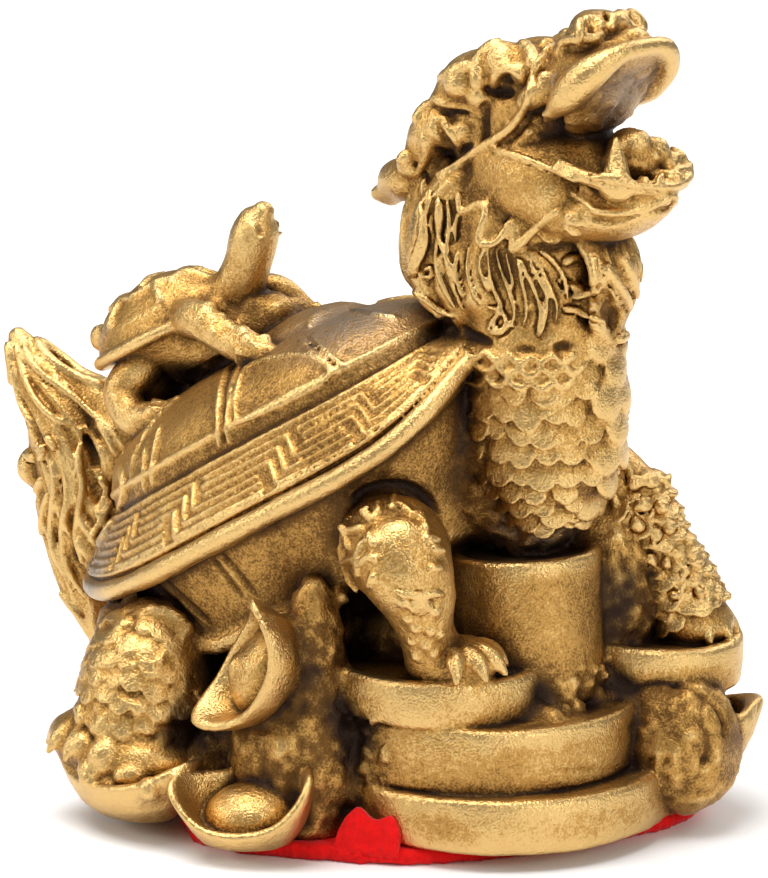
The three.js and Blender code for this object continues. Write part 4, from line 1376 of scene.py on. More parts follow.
    def fret(self) -> None:
        """Rolls the key fret: nested lines that run along the band and step up across it."""
        rng = np.random.default_rng(SEED)
        lines = []
        pitch = 360 / self.fret_units
        for number in range(self.fret_units):
            for k in range(self.fret_lines):
                low = self.fret_floor + self.fret_pitch * (self.fret_lines - 1 - k)
                high = low + self.fret_pitch * self.fret_lines
                step = 0.12 * k
                key = [(-0.62, low), (step, low), (step, high), (0.88, high)]
                shaky = [((number + s + rng.uniform(-0.012, 0.012)) * pitch - 180,
                          t + rng.uniform(-0.006, 0.006)) for s, t in key]
                lines.append((self.line(self.band, shaky, 0.08, 1.0), rng.uniform(0.18, 0.22)))
        self.wax.weld(rolled(*lines), Wear.CARVED, 0.05)

    def plates(self) -> None:
        """Outlines the dome's plates with ridges, in pairs where two plates meet."""
        self.drawing.engrave(PLATE_GROOVES)
        self.drawing.raise_lines(PLATE_RIDGES, Wear.RUBBED, 0.4, 0.0)
        hump = lump(at((-8.8, 0, 33.4)), (4.6, 4.2, 1.6), pitch=-30)
        self.wax.weld(hump, Wear.SAND, 1.0)
        rear = []
        for side in (1, -1):
            for turn in (24, 56):
                rear.append([(side * turn, 0.02), (side * (turn + 4), 0.26), (side * (turn + 9), 0.46)])
            rear.append([(side * t, 0.44 + 0.05 * (k % 2)) for k, t in enumerate(range(0, 80, 16))])
        ridges = [(self.line(self.dome, stops, 0.02), 0.22) for stops in rear]
        self.wax.weld(rolled(*ridges), Wear.RUBBED, 0.1)

    def skirt(self) -> None:
        """Rolls the skirt at the wall's foot."""
        lines = [(self.foot(np.radians(side * np.linspace(-116, -58, 40))) + [0, 0, -0.5 * SHARE], 0.75)
                 for side in (1, -1)]
        self.wax.weld(rolled(*lines, sides=12), Wear.SAND, 0.5)


@dataclass
class Neck:
    """The scaled neck and chest. A scale is given by its half width, half length and thickness in mm."""

    wax: Wax
    side_scale: tuple[float, float, float] = (0.96, 1.02, 0.28)
    front_scale: tuple[float, float, float] = (1.6, 1.5, 0.4)
    edge_girth: float = 0.14

    def __post_init__(self) -> None:
        """Welds the neck and lays its scales."""
        rng = np.random.default_rng(SEED + 1)
        column = Limb([
            (11.3, 0, 21.5, 0.8), (10.9, 0, 23.2, 2.9), (10.7, 0, 26.4, 5.0), (10.5, 0, 30.5, 5.6),
            (10.4, 0, 34.5, 5.4), (10.3, 0, 38, 5.0), (10.5, 0, 42, 4.8)])
        self.wax.weld(column.shape(60, 60), Wear.CARVED, 0.4)
        self.wax.weld(lump(at((6, 0, 28.5)), (5.8, 5.2, 8.3)), Wear.FILLER, 0.4)
        sides = shingles(column, np.arange(0.12, 0.92, 0.058), 1.7, self.side_scale, 10, -1,
                         lambda t, angle: np.abs(np.mod(angle, 2 * math.pi) - 1.5 * math.pi) > 0.42, rng)
        self.wax.weld(sides.shape(), Wear.CARVED, 0.05)
        self.wax.weld(sides.edges(self.edge_girth), Wear.CARVED, 0.04)
        front = Scales()
        for row, t in enumerate(np.arange(0.13, 0.92, 0.082)):
            spread = (-0.24, 0.24) if row % 2 else (0.0,)
            place, out, along = column.surface(np.full(len(spread), t), 1.5 * math.pi + np.array(spread), 0.1)
            front.add(place, out, -along, np.array(self.front_scale), 8)
        self.wax.weld(front.shape(), Wear.RUBBED, 0.1)


@dataclass
class Legs:
    """The four legs, each carved in its own way."""

    FOOT_GRIT = [
        (-20.9, -20.4, 0.9, 14), (-17.4, -21, 1.2, 16), (-19.4, -22.8, 1.1, 14),
    ]
    FOOT_LUMPS = [
        (-20.6, -23.6, 1.3), (-19.2, -24.7, 1.4), (-17.8, -24, 1.2), (-21.4, -21.9, 1.2),
        (-19.9, -22.6, 1.3), (-16.7, -25, 0.9),
    ]
    KNEE_CURLS = [
        (0.5, -4.6, 0.55), (1.5, -4.7, 0.5), (2.3, -5.2, 0.55), (3, -6, 0.55), (3.4, -7, 0.55),
        (3.8, -8, 0.5), (3.6, -9.1, 0.46), (-0.3, -5, 0.5), (-1.2, -5.6, 0.6), (-2.1, -6.3, 0.6),
        (-2.8, -7.3, 0.65), (-1.8, -7.7, 0.6), (-1, -7.3, 0.55), (-2.4, -8.5, 0.6), (-1.5, -8.9, 0.6),
        (-0.8, -8.4, 0.5), (-2, -9.9, 0.55), (-1, -10, 0.5), (-3.1, -6.3, 0.46),
    ]
    SHANK_BEADS = [
        (2.6, -11.7, 0.6), (1.7, -12.8, 0.4), (3.6, -12.3, 0.4), (2.3, -13.5, 0.42), (3.3, -13.7, 0.38),
        (2, -14.4, 0.38), (3, -14.7, 0.42), (4, -13.9, 0.38), (1.4, -11.7, 0.36), (2.3, -15.5, 0.38),
        (3.6, -15.3, 0.38),
    ]
    WAVE: ClassVar[list[Stroke]] = [
        (0.28, [(0.8, -10.8), (1.5, -11.3), (2.2, -11), (2.9, -11.4), (3.6, -10.9), (4.3, -11.2)]),
        (0.22, [(1.7, -11.8), (2, -12.3), (2.6, -12.6), (3.2, -12.3), (3.5, -11.7)]),
    ]
    FAR_CURLS = [
        (17.9, -3.2, 0.7), (19, -2.8, 0.7), (20.4, -3.1, 0.75), (21.6, -4.2, 0.7), (18.6, -4.6, 0.7),
        (19.8, -4.9, 0.65), (18.2, -6.2, 0.65), (19.4, -6.8, 0.6), (20.4, -6.4, 0.6), (21.4, -6.6, 0.55),
        (19, -8.6, 0.6), (20.2, -9, 0.55), (21.6, -9.4, 0.5), (20.6, -11.2, 0.5), (22.6, -11, 0.45),
    ]
    ARCH: ClassVar[list[Stroke]] = [
        (0.42, [(-2.4, -4.8), (-1.8, -4), (-0.9, -3.5), (0.7, -3.2), (2.2, -3.6), (3.3, -4.5), (4, -5.8)]),
    ]

    wax: Wax
    knee: tuple[float, float] = (1.4, -8.0)
    far_scale: tuple[float, float, float] = (0.78, 0.82, 0.42)
    rear_scale: tuple[float, float, float] = (0.84, 0.86, 0.34)
    near_claw: float = 2.05
    far_claw: float = 1.85
    rear_claw: float = 2.2

    def __post_init__(self) -> None:
        """Welds the legs."""
        self.drawing = Drawing(self.wax)
        self.rng = np.random.default_rng(SEED + 2)
        self.near_foreleg()
        self.far_foreleg()
        for side in (-1, 1):
            self.rear(side)
        self.drawing.engrave(WALL_GROOVES)
        self.drawing.beads(self.FOOT_LUMPS, Wear.CARVED, Flank.NEAR, 0.55)
        self.drawing.grit(self.FOOT_GRIT, self.rng, Wear.CARVED)

    def near_foreleg(self) -> None:
        """Makes the leg that stands on the top coin: a smooth knee among curls, and a knobbly shank."""
        leg = Limb([
            (3.4, -8.4, 21.6, 3.0), (4.6, -10.2, 21.7, 3.4), (6, -11.3, 20.7, 3.4),
            (6.8, -11, 18.6, 2.6), (7.0, -10.3, 16.4, 2.0), (7.2, -9.2, 14.2, 2.1)])
        self.wax.weld(leg.shape(), Wear.CARVED, 0.25)
        self.wax.weld(lump(at((8, -8.2, 13.9)), (3.4, 2.7, 1.7), yaw=8), Wear.CARVED, 0.4)
        self.wax.weld(lump(at((4.2, -10.2, 22.4)), (3.4, 1.6, 2.8), yaw=20), Wear.SAND, 1.2)
        self.wax.weld(lump(at((6.4, -12.5, 21.6)), (2.5, 1.5, 2.9), yaw=30), Wear.RUBBED, 0.4)
        for x, z, size in ((2.8, 22.4, 1.2), (2.4, 20.9, 1.1), (3.2, 19.4, 1.0), (4.2, 18.4, 0.7)):
            self.wax.weld(lump(at((x, -11.2, z)), (size, 0.8, size)), Wear.CARVED, 0.3)
        self.drawing.engrave(self.ARCH, Flank.NEAR)
        self.drawing.tufts(self.KNEE_CURLS, self.knee, 0.3, Flank.NEAR)
        self.drawing.raise_lines(self.WAVE, Wear.CARVED, 0.3, 0.1, Flank.NEAR)
        self.drawing.beads(self.SHANK_BEADS, Wear.CARVED, Flank.NEAR)
        foot, heading, spread, toes = at((8.2, -8.5, 13.9)), math.radians(-8), 1.75, 4
        for claw in claws(foot, heading, spread, toes, self.near_claw):
            self.wax.weld(claw, Wear.RUBBED, 0.1)
        nails = []
        arc = np.linspace(0, math.pi, 10)
        for k in range(toes):
            out = level(heading + spread * (k / (toes - 1) - 0.5))
            beside = np.array([-out[1], out[0], 0])
            centre = foot.reshape(3) + out * 2.6 + [0, 0, 0.3]
            nails.append((centre + np.outer(np.cos(arc), beside) * 0.66
                          + np.outer(np.sin(arc), [0, 0, 0.8]), 0.16))
        self.wax.weld(rolled(*nails), Wear.CARVED, 0.06)

    def far_foreleg(self) -> None:
        """Makes the leg on the far side, which steps out over the side coin."""
        leg = Limb([
            (5.5, 7, 25.5, 3.2), (9.6, 7, 24.7, 3.1), (12.8, 7.6, 22.6, 2.9),
            (14.5, 8.2, 19.8, 2.5), (16, 8.8, 17, 2.6), (17.3, 9.2, 14.4, 2.8)])
        self.wax.weld(leg.shape(), Wear.CARVED, 0.35)
        self.wax.weld(lump(at((17.6, 9.3, 13.9)), (3.1, 3.0, 1.8)), Wear.CARVED, 0.4)
        scales = shingles(leg, np.arange(0.42, 0.99, 0.05), 1.4, self.far_scale, 32, 1, None, self.rng)
        self.wax.weld(scales.shape(), Wear.CARVED, 0.03)
        self.wax.weld(scales.edges(0.16), Wear.RUBBED, 0.04)
        routes = []
        for t, angle, radius in [
            (0.2, -0.4, 0.9), (0.28, 0.3, 0.8), (0.34, -0.9, 0.8), (0.36, -0.2, 0.8), (0.44, 0.5, 0.7),
            (0.46, -0.6, 0.8), (0.24, -1.2, 0.8), (0.15, 0.4, 0.8), (0.4, 1.1, 0.7), (0.3, 1.4, 0.7),
            (0.14, -0.9, 0.8), (0.48, 0.0, 0.7), (0.42, -1.3, 0.7), (0.52, 0.9, 0.7), (0.1, -0.1, 0.8),
        ]:
            place, out, along = leg.surface(np.array([t]), np.array([math.pi + angle]), 0.05)
            routes.append(spiral(place, along[0], np.cross(out[0], along[0]), radius, 0.8, 0.25))
        self.wax.cut(rolled(*((route, 0.4) for route in routes)), 0.05)
        self.wax.weld(rolled(*((route, 0.3) for route in routes)), Wear.CARVED, 0.06)
        self.drawing.curls(self.FAR_CURLS, 0.3, Wear.CARVED, Flank.NEAR)
        for claw in claws(at((17.5, 9.4, 13.6)), math.radians(8), 1.7, 4, self.far_claw):
            self.wax.weld(claw, Wear.RUBBED, 0.15)

    def rear(self, side: int) -> None:
        """Makes a stout rear leg under round scales, with the toes turned out."""
        leg = Limb([
            (-14.4, side * 8.4, 12.8, 3.4), (-14.8, side * 10.2, 11.4, 4.4), (-15.0, side * 11.4, 9.0, 4.7),
            (-15.3, side * 12, 6, 4.2), (-15.6, side * 12.2, 3.6, 3.9)])
        self.wax.weld(leg.shape(60, 50), Wear.CARVED, 0.3)
        scales = shingles(leg, np.arange(0.14, 0.92, 0.078), 1.45, self.rear_scale, 15, 1, None, self.rng)
        self.wax.weld(scales.shape(), Wear.CARVED, 0.04)
        self.wax.weld(scales.edges(0.12), Wear.CARVED, 0.04)
        foot = lump(at((-15.6, side * 13.4, 5.2)), (5.6, 3.9, 2.5), yaw=side * 16)
        self.wax.weld(foot, Wear.CARVED, 0.5)
        self.wax.weld(lump(at((-18.6, side * 13.6, 6.0)), (2.8, 2.8, 1.9)), Wear.CARVED, 0.6)
        heading = math.radians(180 - side * 34)
        for claw in claws(at((-17.4, side * 13.4, 5.9)), heading, 1.7, 4, self.rear_claw):
            self.wax.weld(claw, Wear.RUBBED, 0.25)
        beads = Scales()
        for k in range(30):
            turn = heading + self.rng.uniform(-1.4, 1.4)
            reach, height = self.rng.uniform(2.6, 4.6), self.rng.uniform(5.6, 7.4)
            out = np.array([[math.cos(turn), math.sin(turn), 0.35]])
            place = at((-15.6, side * 12.2, height)) + out * [reach, reach, 0]
            beads.add(place, out, np.array([[0, 0, -1.0]]), np.full(3, self.rng.uniform(0.4, 0.7)), 0)
        self.wax.weld(beads.shape(), Wear.CARVED, 0.12)


HEAD_RIDGES: list[Stroke] = [
    (0.34, [(11.4, 27.5), (10.9, 26.6), (10.4, 25), (10.1, 23.7), (8.7, 21.9), (6.7, 20.7), (5.1, 19.5),
        (3.5, 18.7)]),
    (0.3, [(7.7, 20.7), (9.3, 20.3), (10.9, 19.7), (12.2, 19.2), (13.4, 18.6), (14.4, 17.8), (15, 17.2)]),
    (0.32, [(5.3, 17.6), (5.4, 16), (6.1, 16.5), (6.9, 16.9), (7.4, 16.5), (7, 15.4), (6.6, 14.1),
        (7.2, 13.8), (8, 14), (8.7, 14.9), (9.1, 15.6), (9.5, 15.1), (9.2, 14.1), (9, 13.3), (9.9, 14.1),
        (10.9, 15.1), (11.8, 15.9), (12.5, 16.4)]),
    (0.26, [(14.6, 18.7), (15.7, 18.6), (17.8, 18.1), (19.7, 18), (21.4, 18.1)]),
    (0.4, [(14.1, 28.5), (13.9, 29.9), (14.6, 30.9), (15.5, 31), (16.2, 30.4), (17, 29.8), (17.6, 29.1)]),
    (0.35, [(11.4, 27.5), (12, 28.1), (12.8, 28.4), (13.8, 28.6), (14.4, 28.2)]),
    (0.3, [(15.3, 18.9), (16.9, 18.6), (18.4, 18.7), (20.2, 19.1), (21.3, 18.6)]),
    (0.28, [(14.8, 16.3), (16.3, 16.1), (17.9, 16.3), (19.4, 16.7), (20.7, 17.4)]),
    (0.26, [(13, 16.1), (13.3, 15.5), (13.9, 15.3)]),
    (0.26, [(12.9, 15.4), (13.2, 14.8), (13.9, 14.6)]),
    (0.26, [(11.2, 14.6), (11.8, 14.1), (12.5, 14.3)]),
    (0.24, [(13.3, 17.6), (14.3, 17.1), (15.1, 16.3)]),
]

HEAD_GROOVES: list[Stroke] = [
    (0.3, [(14.7, 16), (15.7, 15.6), (17, 15.6), (18.5, 16.5), (20.6, 16.4)]),
    (0.35, [(10.7, 23.4), (10, 22.4), (8.8, 21.2)]),
    (0.3, [(10.2, 13.5), (11.2, 13.8), (12.3, 13.5), (14.3, 15)]),
]

HORN_RIDGES: list[Stroke] = [
    (0.5, [(6.7, 25), (6.6, 26.1), (6.9, 27.3), (7.8, 28.2), (9.1, 28.5), (10.1, 28.1), (10.6, 27.3),
        (10.5, 26.5)]),
    (0.34, [(7.8, 25.1), (7.9, 26.1), (8.7, 26.6), (9.6, 26.3), (10.1, 25.4)]),
    (0.42, [(3.4, 24.5), (3.8, 25.5), (4.9, 26.3), (6.1, 26.7), (6.7, 26.4)]),
    (0.3, [(3.3, 24.7), (3.8, 24.1), (4.9, 23.8), (5.9, 23.8), (7, 23.2)]),
    (0.32, [(4.2, 23.1), (4.5, 22.1), (5.1, 21.5), (5.5, 20.6)]),
    (0.3, [(5.1, 23.1), (6.3, 22.9), (7, 22.4)]),
    (0.45, [(2.3, 22.6), (2.6, 23.4), (3.5, 24)]),
    (0.5, [(1.7, 20.5), (1.2, 19.8), (0, 18.8)]),
    (0.3, [(2.8, 21.7), (3.1, 20.6), (2.8, 19.6), (2.1, 18.6)]),
    (0.36, [(11, 28.3), (11.4, 28.7), (12, 28.7), (12.3, 28.2)]),
]

HORN_GROOVES: list[Stroke] = [
    (0.5, [(7.2, 25.1), (7.8, 24.7), (8.8, 24.8), (9.7, 24.7)]),
    (0.42, [(8.5, 25.3), (8.9, 25.8), (9.3, 25.4)]),
    (0.4, [(7.3, 24), (7.2, 22.9), (7.3, 21.7), (7, 20.8)]),
    (0.3, [(3.7, 23.6), (4.7, 23.2), (5.9, 23.3), (6.8, 22.7)]),
    (0.34, [(3.7, 20.8), (4.5, 20.3), (5.4, 20.4), (6.3, 21)]),
    (0.3, [(3.7, 22.8), (4, 21.8), (4.6, 21.1)]),
    (0.34, [(2.8, 23.7), (3.7, 23.9)]),
    (0.3, [(2.1, 19.8), (2.8, 19.1), (3.2, 18.1)]),
]


@dataclass
class Head:
    """The dragon's head with its open jaws. Its places are drawn before the head is turned."""

    BEADS = [
        (10.9, 22.9, 0.42), (10.4, 21.9, 0.36), (9.9, 21.3, 0.3), (11.2, 22.3, 0.3), (10.9, 21.4, 0.34),
        (11.5, 23.2, 0.3), (9.4, 20.9, 0.26), (9.2, 21.6, 0.24),
    ]
    LOBES = [
        (8.6, 26.9, 1.5), (10, 26.3, 1), (5.5, 25.4, 1.2), (6.9, 24.6, 1.1), (4.2, 22.3, 1.2), (5.8, 22, 1),
        (1.9, 19.6, 1), (11.6, 28, 0.7), (12.8, 27.6, 0.8),
    ]
    JAW_BEADS = [
        (17.8, 19.6, 0.34), (19.4, 20.2, 0.36), (18.6, 19.4, 0.28), (20.2, 19.5, 0.3), (21, 19, 0.26),
    ]

    wax: Wax
    nostril: tuple[float, float] = (14.8, 29.3)
    gum_girth: float = 0.55
    fang_heights: tuple[float, float] = (4.7, 3.4)

    def __post_init__(self) -> None:
        """Welds the head and carves it."""
        self.drawing = Drawing(self.wax, HEAD_AXIS_X, HEAD_TURN)
        self.skull()
        self.upper_jaw()
        self.lower_jaw()
        self.horns()
        Mane(self.wax)
        self.lines()

    def put(self, place: Sequence[float], size: Sequence[float], wear: Wear = Wear.CARVED,
            fillet: float = 0.4, pitch: float = 0, yaw: float = 0) -> None:
        """Welds one lump at a place on the head."""
        shape = lump(on_head(place), size, pitch=pitch, yaw=yaw + math.degrees(HEAD_TURN))
        self.wax.weld(shape, wear, fillet)

    def skull(self) -> None:
        """Welds the skull, the brows, the eyes and the cheeks."""
        self.put((10.3, 0, 51), (4.4, 4.0, 5.0), Wear.SAND)
        self.put((5.2, 0, 49), (4.3, 3.3, 4.5), Wear.FILLER)
        self.put((12, 0, 46.4), (5.8, 5.0, 4.1))
        for side in (1, -1):
            self.put((13, side * 4, 52.6), (1.8, 0.8, 0.9), pitch=-30)
            self.put((13.8, side * 4.15, 53.7), (0.5, 0.45, 0.6), Wear.RUBBED, 0.1)
            self.put((11.6, side * 4.25, 46.6), (3.6, 0.75, 2.0), Wear.RUBBED, 1.4, pitch=8)
            self.put((7.6, side * 2.6, 49.0), (2.8, 2.0, 2.6), Wear.SAND, 0.8)
            self.put((10.2, side * 3.7, 50.4), (2.4, 0.6, 2.0), Wear.SAND, 0.4)

    def upper_jaw(self) -> None:
        """Welds the upper jaw with its palate, its broad rolled lip and the nostrils."""
        jaw = Limb([
            (12.4, 0, 52.8, 3.5, 3.1), (14.9, 0, 54, 4.2, 2.4), (17, 0, 54.9, 4.0, 1.5),
            (18.4, 0, 55.5, 2.7, 0.8), (18.9, 0, 55.8, 1.2, 0.4)], on_head)
        self.wax.weld(jaw.shape(50, 50), Wear.SAND, 0.4)
        self.put((16.2, 0, 53.2), (4.2, 4.1, 1.4), Wear.FILLER, 0.4, pitch=-62)
        self.put((14.9, 0, 56.7), (2.0, 1.8, 1.6), fillet=0.7)
        half = [(13.6, -3.5, 51.0, 0.35), (14.6, -4.1, 51.7, 0.6), (15.8, -4.3, 52.7, 1.1),
                (17.2, -4.1, 54.1, 1.2), (18.2, -3.3, 55.1, 0.95), (18.8, -2.0, 55.8, 0.65)]
        lip = [*half, (19.05, 0, 56.0, 0.5), *[(x, -y, z, r) for x, y, z, r in reversed(half)]]
        rim = Limb(lip, on_head, side=(0.0, 0.0, 1.0))
        self.wax.weld(rim.shape(24, 90), Wear.RUBBED, 0.45)
        for side in (1, -1):
            self.put((15.4, side * 1.8, 56.4), (1.5, 1.2, 1.3), Wear.CARVED, 0.5)

    def lower_jaw(self) -> None:
        """Welds the lower jaw, the tongue, the fangs and the teeth."""
        jaw = Limb([
            (10.5, 0, 44.6, 4.4, 2.8), (14.5, 0, 44.6, 4.5, 2.35), (17.8, 0, 45.1, 3.7, 2.0),
            (20, 0, 46, 2.5, 1.45), (20.9, 0, 46.4, 1.2, 0.75)], on_head)
        self.wax.weld(jaw.shape(50, 50), Wear.CARVED, 0.4)
        half = [(15.4, -4.2, 48.2), (17.2, -4.3, 47.7), (18.8, -3.8, 47.3), (20.2, -2.6, 47.0),
                (20.9, -1.0, 46.9)]
        gum = [*half, *[(x, -y, z) for x, y, z in reversed(half)]]
        ridge = Limb([(*stop, self.gum_girth) for stop in gum], on_head, side=(0.0, 0.0, 1.0))
        self.wax.weld(ridge.shape(20, 80), Wear.CARVED, 0.4)
        for place, size in [((18.2, 0, 48.2), (2.0, 2.0, 1.8)), ((18.7, -0.6, 49.5), (1.2, 1.2, 1.0)),
                            ((19.2, 0.9, 48.9), (1.1, 1.1, 1.0)), ((19.6, 1.9, 48.0), (0.9, 0.9, 0.9)),
                            ((17.2, 0.6, 49.2), (1.2, 1.6, 1.1)), ((20.3, 1.4, 47.3), (0.6, 0.6, 0.7))]:
            self.put(place, size, Wear.CARVED, 0.3, pitch=-20)
        for side, height in zip((-1, 1), self.fang_heights):
            fang = Limb([
                (19.2, side * 3.1, 46.8, 1.2, 0.95), (19.3, side * 3.1, 48.3, 0.85, 0.7),
                (19.1, side * 3.0, 45.6 + height, 0.12, 0.12)], on_head, side=(1.0, 0.0, 0.0))
            self.wax.weld(fang.shape(24, 24), Wear.RUBBED, 0.25)
        teeth = Scales()
        for x, y, size in [(20.3, -1.7, 0.4), (20.8, -0.6, 0.4), (20.8, 0.7, 0.4), (20.2, 1.9, 0.45),
                           (18.2, 3.6, 0.5), (17.0, 4.0, 0.5)]:
            teeth.add(on_head((x, y, 47.2)), np.array([[0, 0, 1.0]]), np.array([[1.0, 0, 0]]),
                      np.array([size, size, size * 1.5]), 0)
        self.wax.weld(teeth.shape(), Wear.CARVED, 0.2)

    def horns(self) -> None:
        """Piles the folded lobes of the horns up behind the brows and draws them out to their tips."""
        def lobes(t: Array, angle: Array) -> Array:
            """Swells the horn into lobes."""
            return 0.2 * np.cos(t * math.pi * 8 + 1.1 * np.sin(angle)) + 0.1 * np.cos(2 * angle + t * 11)

        for side in (1, -1):
            horn = Limb([
                (12, side * 2.2, 54.2, 1.2), (9.6, side * 2.6, 54.1, 1.7), (6.8, side * 3, 52.7, 1.9),
                (4.7, side * 3.2, 50.4, 1.9), (2.9, side * 3.1, 48, 1.8), (0.7, side * 2.8, 45.9, 1.5),
                (-1.3, side * 2.4, 44.7, 1.2), (-2.6, side * 2.1, 44, 0.5)], on_head, relief=lobes)
            self.wax.weld(horn.shape(48, 90), Wear.CARVED, 0.3)
            for place, size, pitch in [
                ((9.4, side * 3.2, 53.7), (1.9, 0.9, 1.2), 25),
                ((6.8, side * 3.7, 51.6), (1.6, 0.9, 1.2), 50),
                ((5.0, side * 3.8, 49.4), (1.3, 0.8, 1.1), 50),
                ((12.6, side * 3.2, 54.6), (0.8, 0.6, 0.5), 0),
            ]:
                self.put(place, size, Wear.CARVED, 0.2, pitch=pitch)

    def lines(self) -> None:
        """Carves the folds, the whiskers, the ribbons and the creases."""
        drawing = self.drawing
        drawing.beads(self.LOBES, Wear.CARVED, sunk=0.62)
        x, y = self.nostril
        turn = np.linspace(0.0, 1.9 * math.pi, 15)
        ring = np.stack([x + 0.95 * np.cos(turn), y + 0.85 * np.sin(turn)], 1)
        drawing.engrave([(0.5, [(x + side, y) for side in (-0.2, -0.1, 0.1, 0.2)])])
        drawing.raise_lines([(0.42, ring)], Wear.RUBBED, 0.2)
        drawing.engrave(HORN_GROOVES)
        drawing.raise_lines(HORN_RIDGES, Wear.CARVED, 0.1)
        drawing.engrave(HEAD_GROOVES)
        drawing.beads(self.BEADS, Wear.CARVED)
        drawing.beads(self.JAW_BEADS, Wear.RUBBED)
        drawing.raise_lines(HEAD_RIDGES, Wear.RUBBED, 0.45, 0.03)


MANE_STRANDS: list[Stroke] = [
    (0.26, [(5.3, 13.5), (5.1, 12.2), (5.3, 11.1), (5.7, 10)]),
    (0.25, [(6.1, 13.8), (5.9, 12.5), (6.1, 11.2), (6.6, 10.1), (6.9, 9.5)]),
    (0.25, [(7.1, 13.6), (6.7, 12.5), (7.1, 11.4), (7.5, 10.4)]),
    (0.25, [(7.4, 13.5), (7.5, 12.2), (7.7, 10.8), (8.3, 9.8), (8.4, 9), (7.7, 8.5), (7.3, 7.9), (7.9, 7.4),
        (8.7, 7.7), (9.1, 8.5)]),
    (0.24, [(8, 13.6), (8.2, 12.4), (8.7, 11.2), (9.1, 10.1), (9.4, 9), (9.1, 7.9)]),
    (0.22, [(8.7, 13.3), (8.9, 12.2), (9.3, 11.2), (9.1, 10.6)]),
    (0.26, [(9.8, 12.8), (10.1, 11.9), (10.7, 10.8), (11.1, 9.6), (11.2, 8.7), (10.9, 7.4)]),
    (0.24, [(10.4, 12.7), (10.9, 11.6), (11.5, 10.6), (11.7, 9.5), (11.5, 8.4), (11.1, 7.1)]),
    (0.24, [(11.2, 12.2), (11.7, 11.2), (12.2, 10.1), (12.4, 9.2), (12.2, 8.2)]),
    (0.34, [(3.1, 19.2), (2.6, 17), (2.7, 14.6), (2.1, 13), (1.8, 11.7), (2.1, 10.6), (2.9, 10), (3.9, 9.2),
        (5, 8.7)]),
    (0.3, [(3.9, 17.2), (4.1, 15.7), (3.8, 14.1), (3.7, 12.5), (4.3, 10.8), (5.1, 9.3)]),
    (0.26, [(4.5, 17), (4.7, 15.6), (4.5, 14), (4.5, 12.4), (5, 10.8), (5.8, 9)]),
    (0.24, [(5.2, 17.3), (5.3, 16), (5, 14.8), (5.2, 14)]),
    (0.24, [(9.5, 13), (9.7, 11.6), (10.1, 10.3), (10.2, 9), (9.9, 7.9)]),
    (0.24, [(10.2, 13.8), (11.2, 13.5), (12.3, 12.5), (13, 11.2), (13.1, 10)]),
    (0.3, [(3.2, 18.6), (3.3, 17.1), (2.8, 15.5), (3.1, 14), (2.4, 12.5), (2.1, 11.5)]),
    (0.28, [(3.7, 17.1), (3.8, 15), (4.2, 13.5), (4.9, 12), (5.6, 10.4)]),
    (0.24, [(2.8, 12), (3.3, 12.5), (3.7, 12), (3.3, 11.3), (2.8, 11.6)]),
    (0.26, [(7.4, 9.4), (8.4, 9.2), (8.9, 8.4), (8.4, 7.6), (7.7, 8), (7.9, 8.7)]),
]

RUFF_STROKES: list[Stroke] = [
    (0.42, [(15.7, 12.5), (16.5, 11.2), (17.3, 10), (17.8, 8.7), (17.5, 7.6), (16.7, 7)]),
    (0.38, [(17, 13), (17.6, 11.7), (18.1, 10.1), (18.2, 8.7), (17.8, 7.4)]),
    (0.26, [(12.8, 9.2), (13.6, 9.3), (14.6, 8.7)]),
    (0.24, [(14.7, 8.7), (15.5, 8.5), (16.3, 7.9)]),
    (0.3, [(12.8, 12.5), (13.3, 13), (14.1, 13), (14.7, 12.4)]),
    (0.3, [(12.5, 11.6), (13.1, 10.9), (14.1, 10.8), (14.9, 11.2)]),
    (0.26, [(13.4, 10.1), (14.6, 10.3), (15.5, 10.8)]),
]

RUFF_HOLLOW: list[Stroke] = [
    (0.75, [(15, 10.8), (15.8, 9.8), (16.5, 8.7), (16.6, 7.9)]),
    (0.5, [(14.1, 9.5), (14.9, 9.3), (15.7, 8.7)]),
]


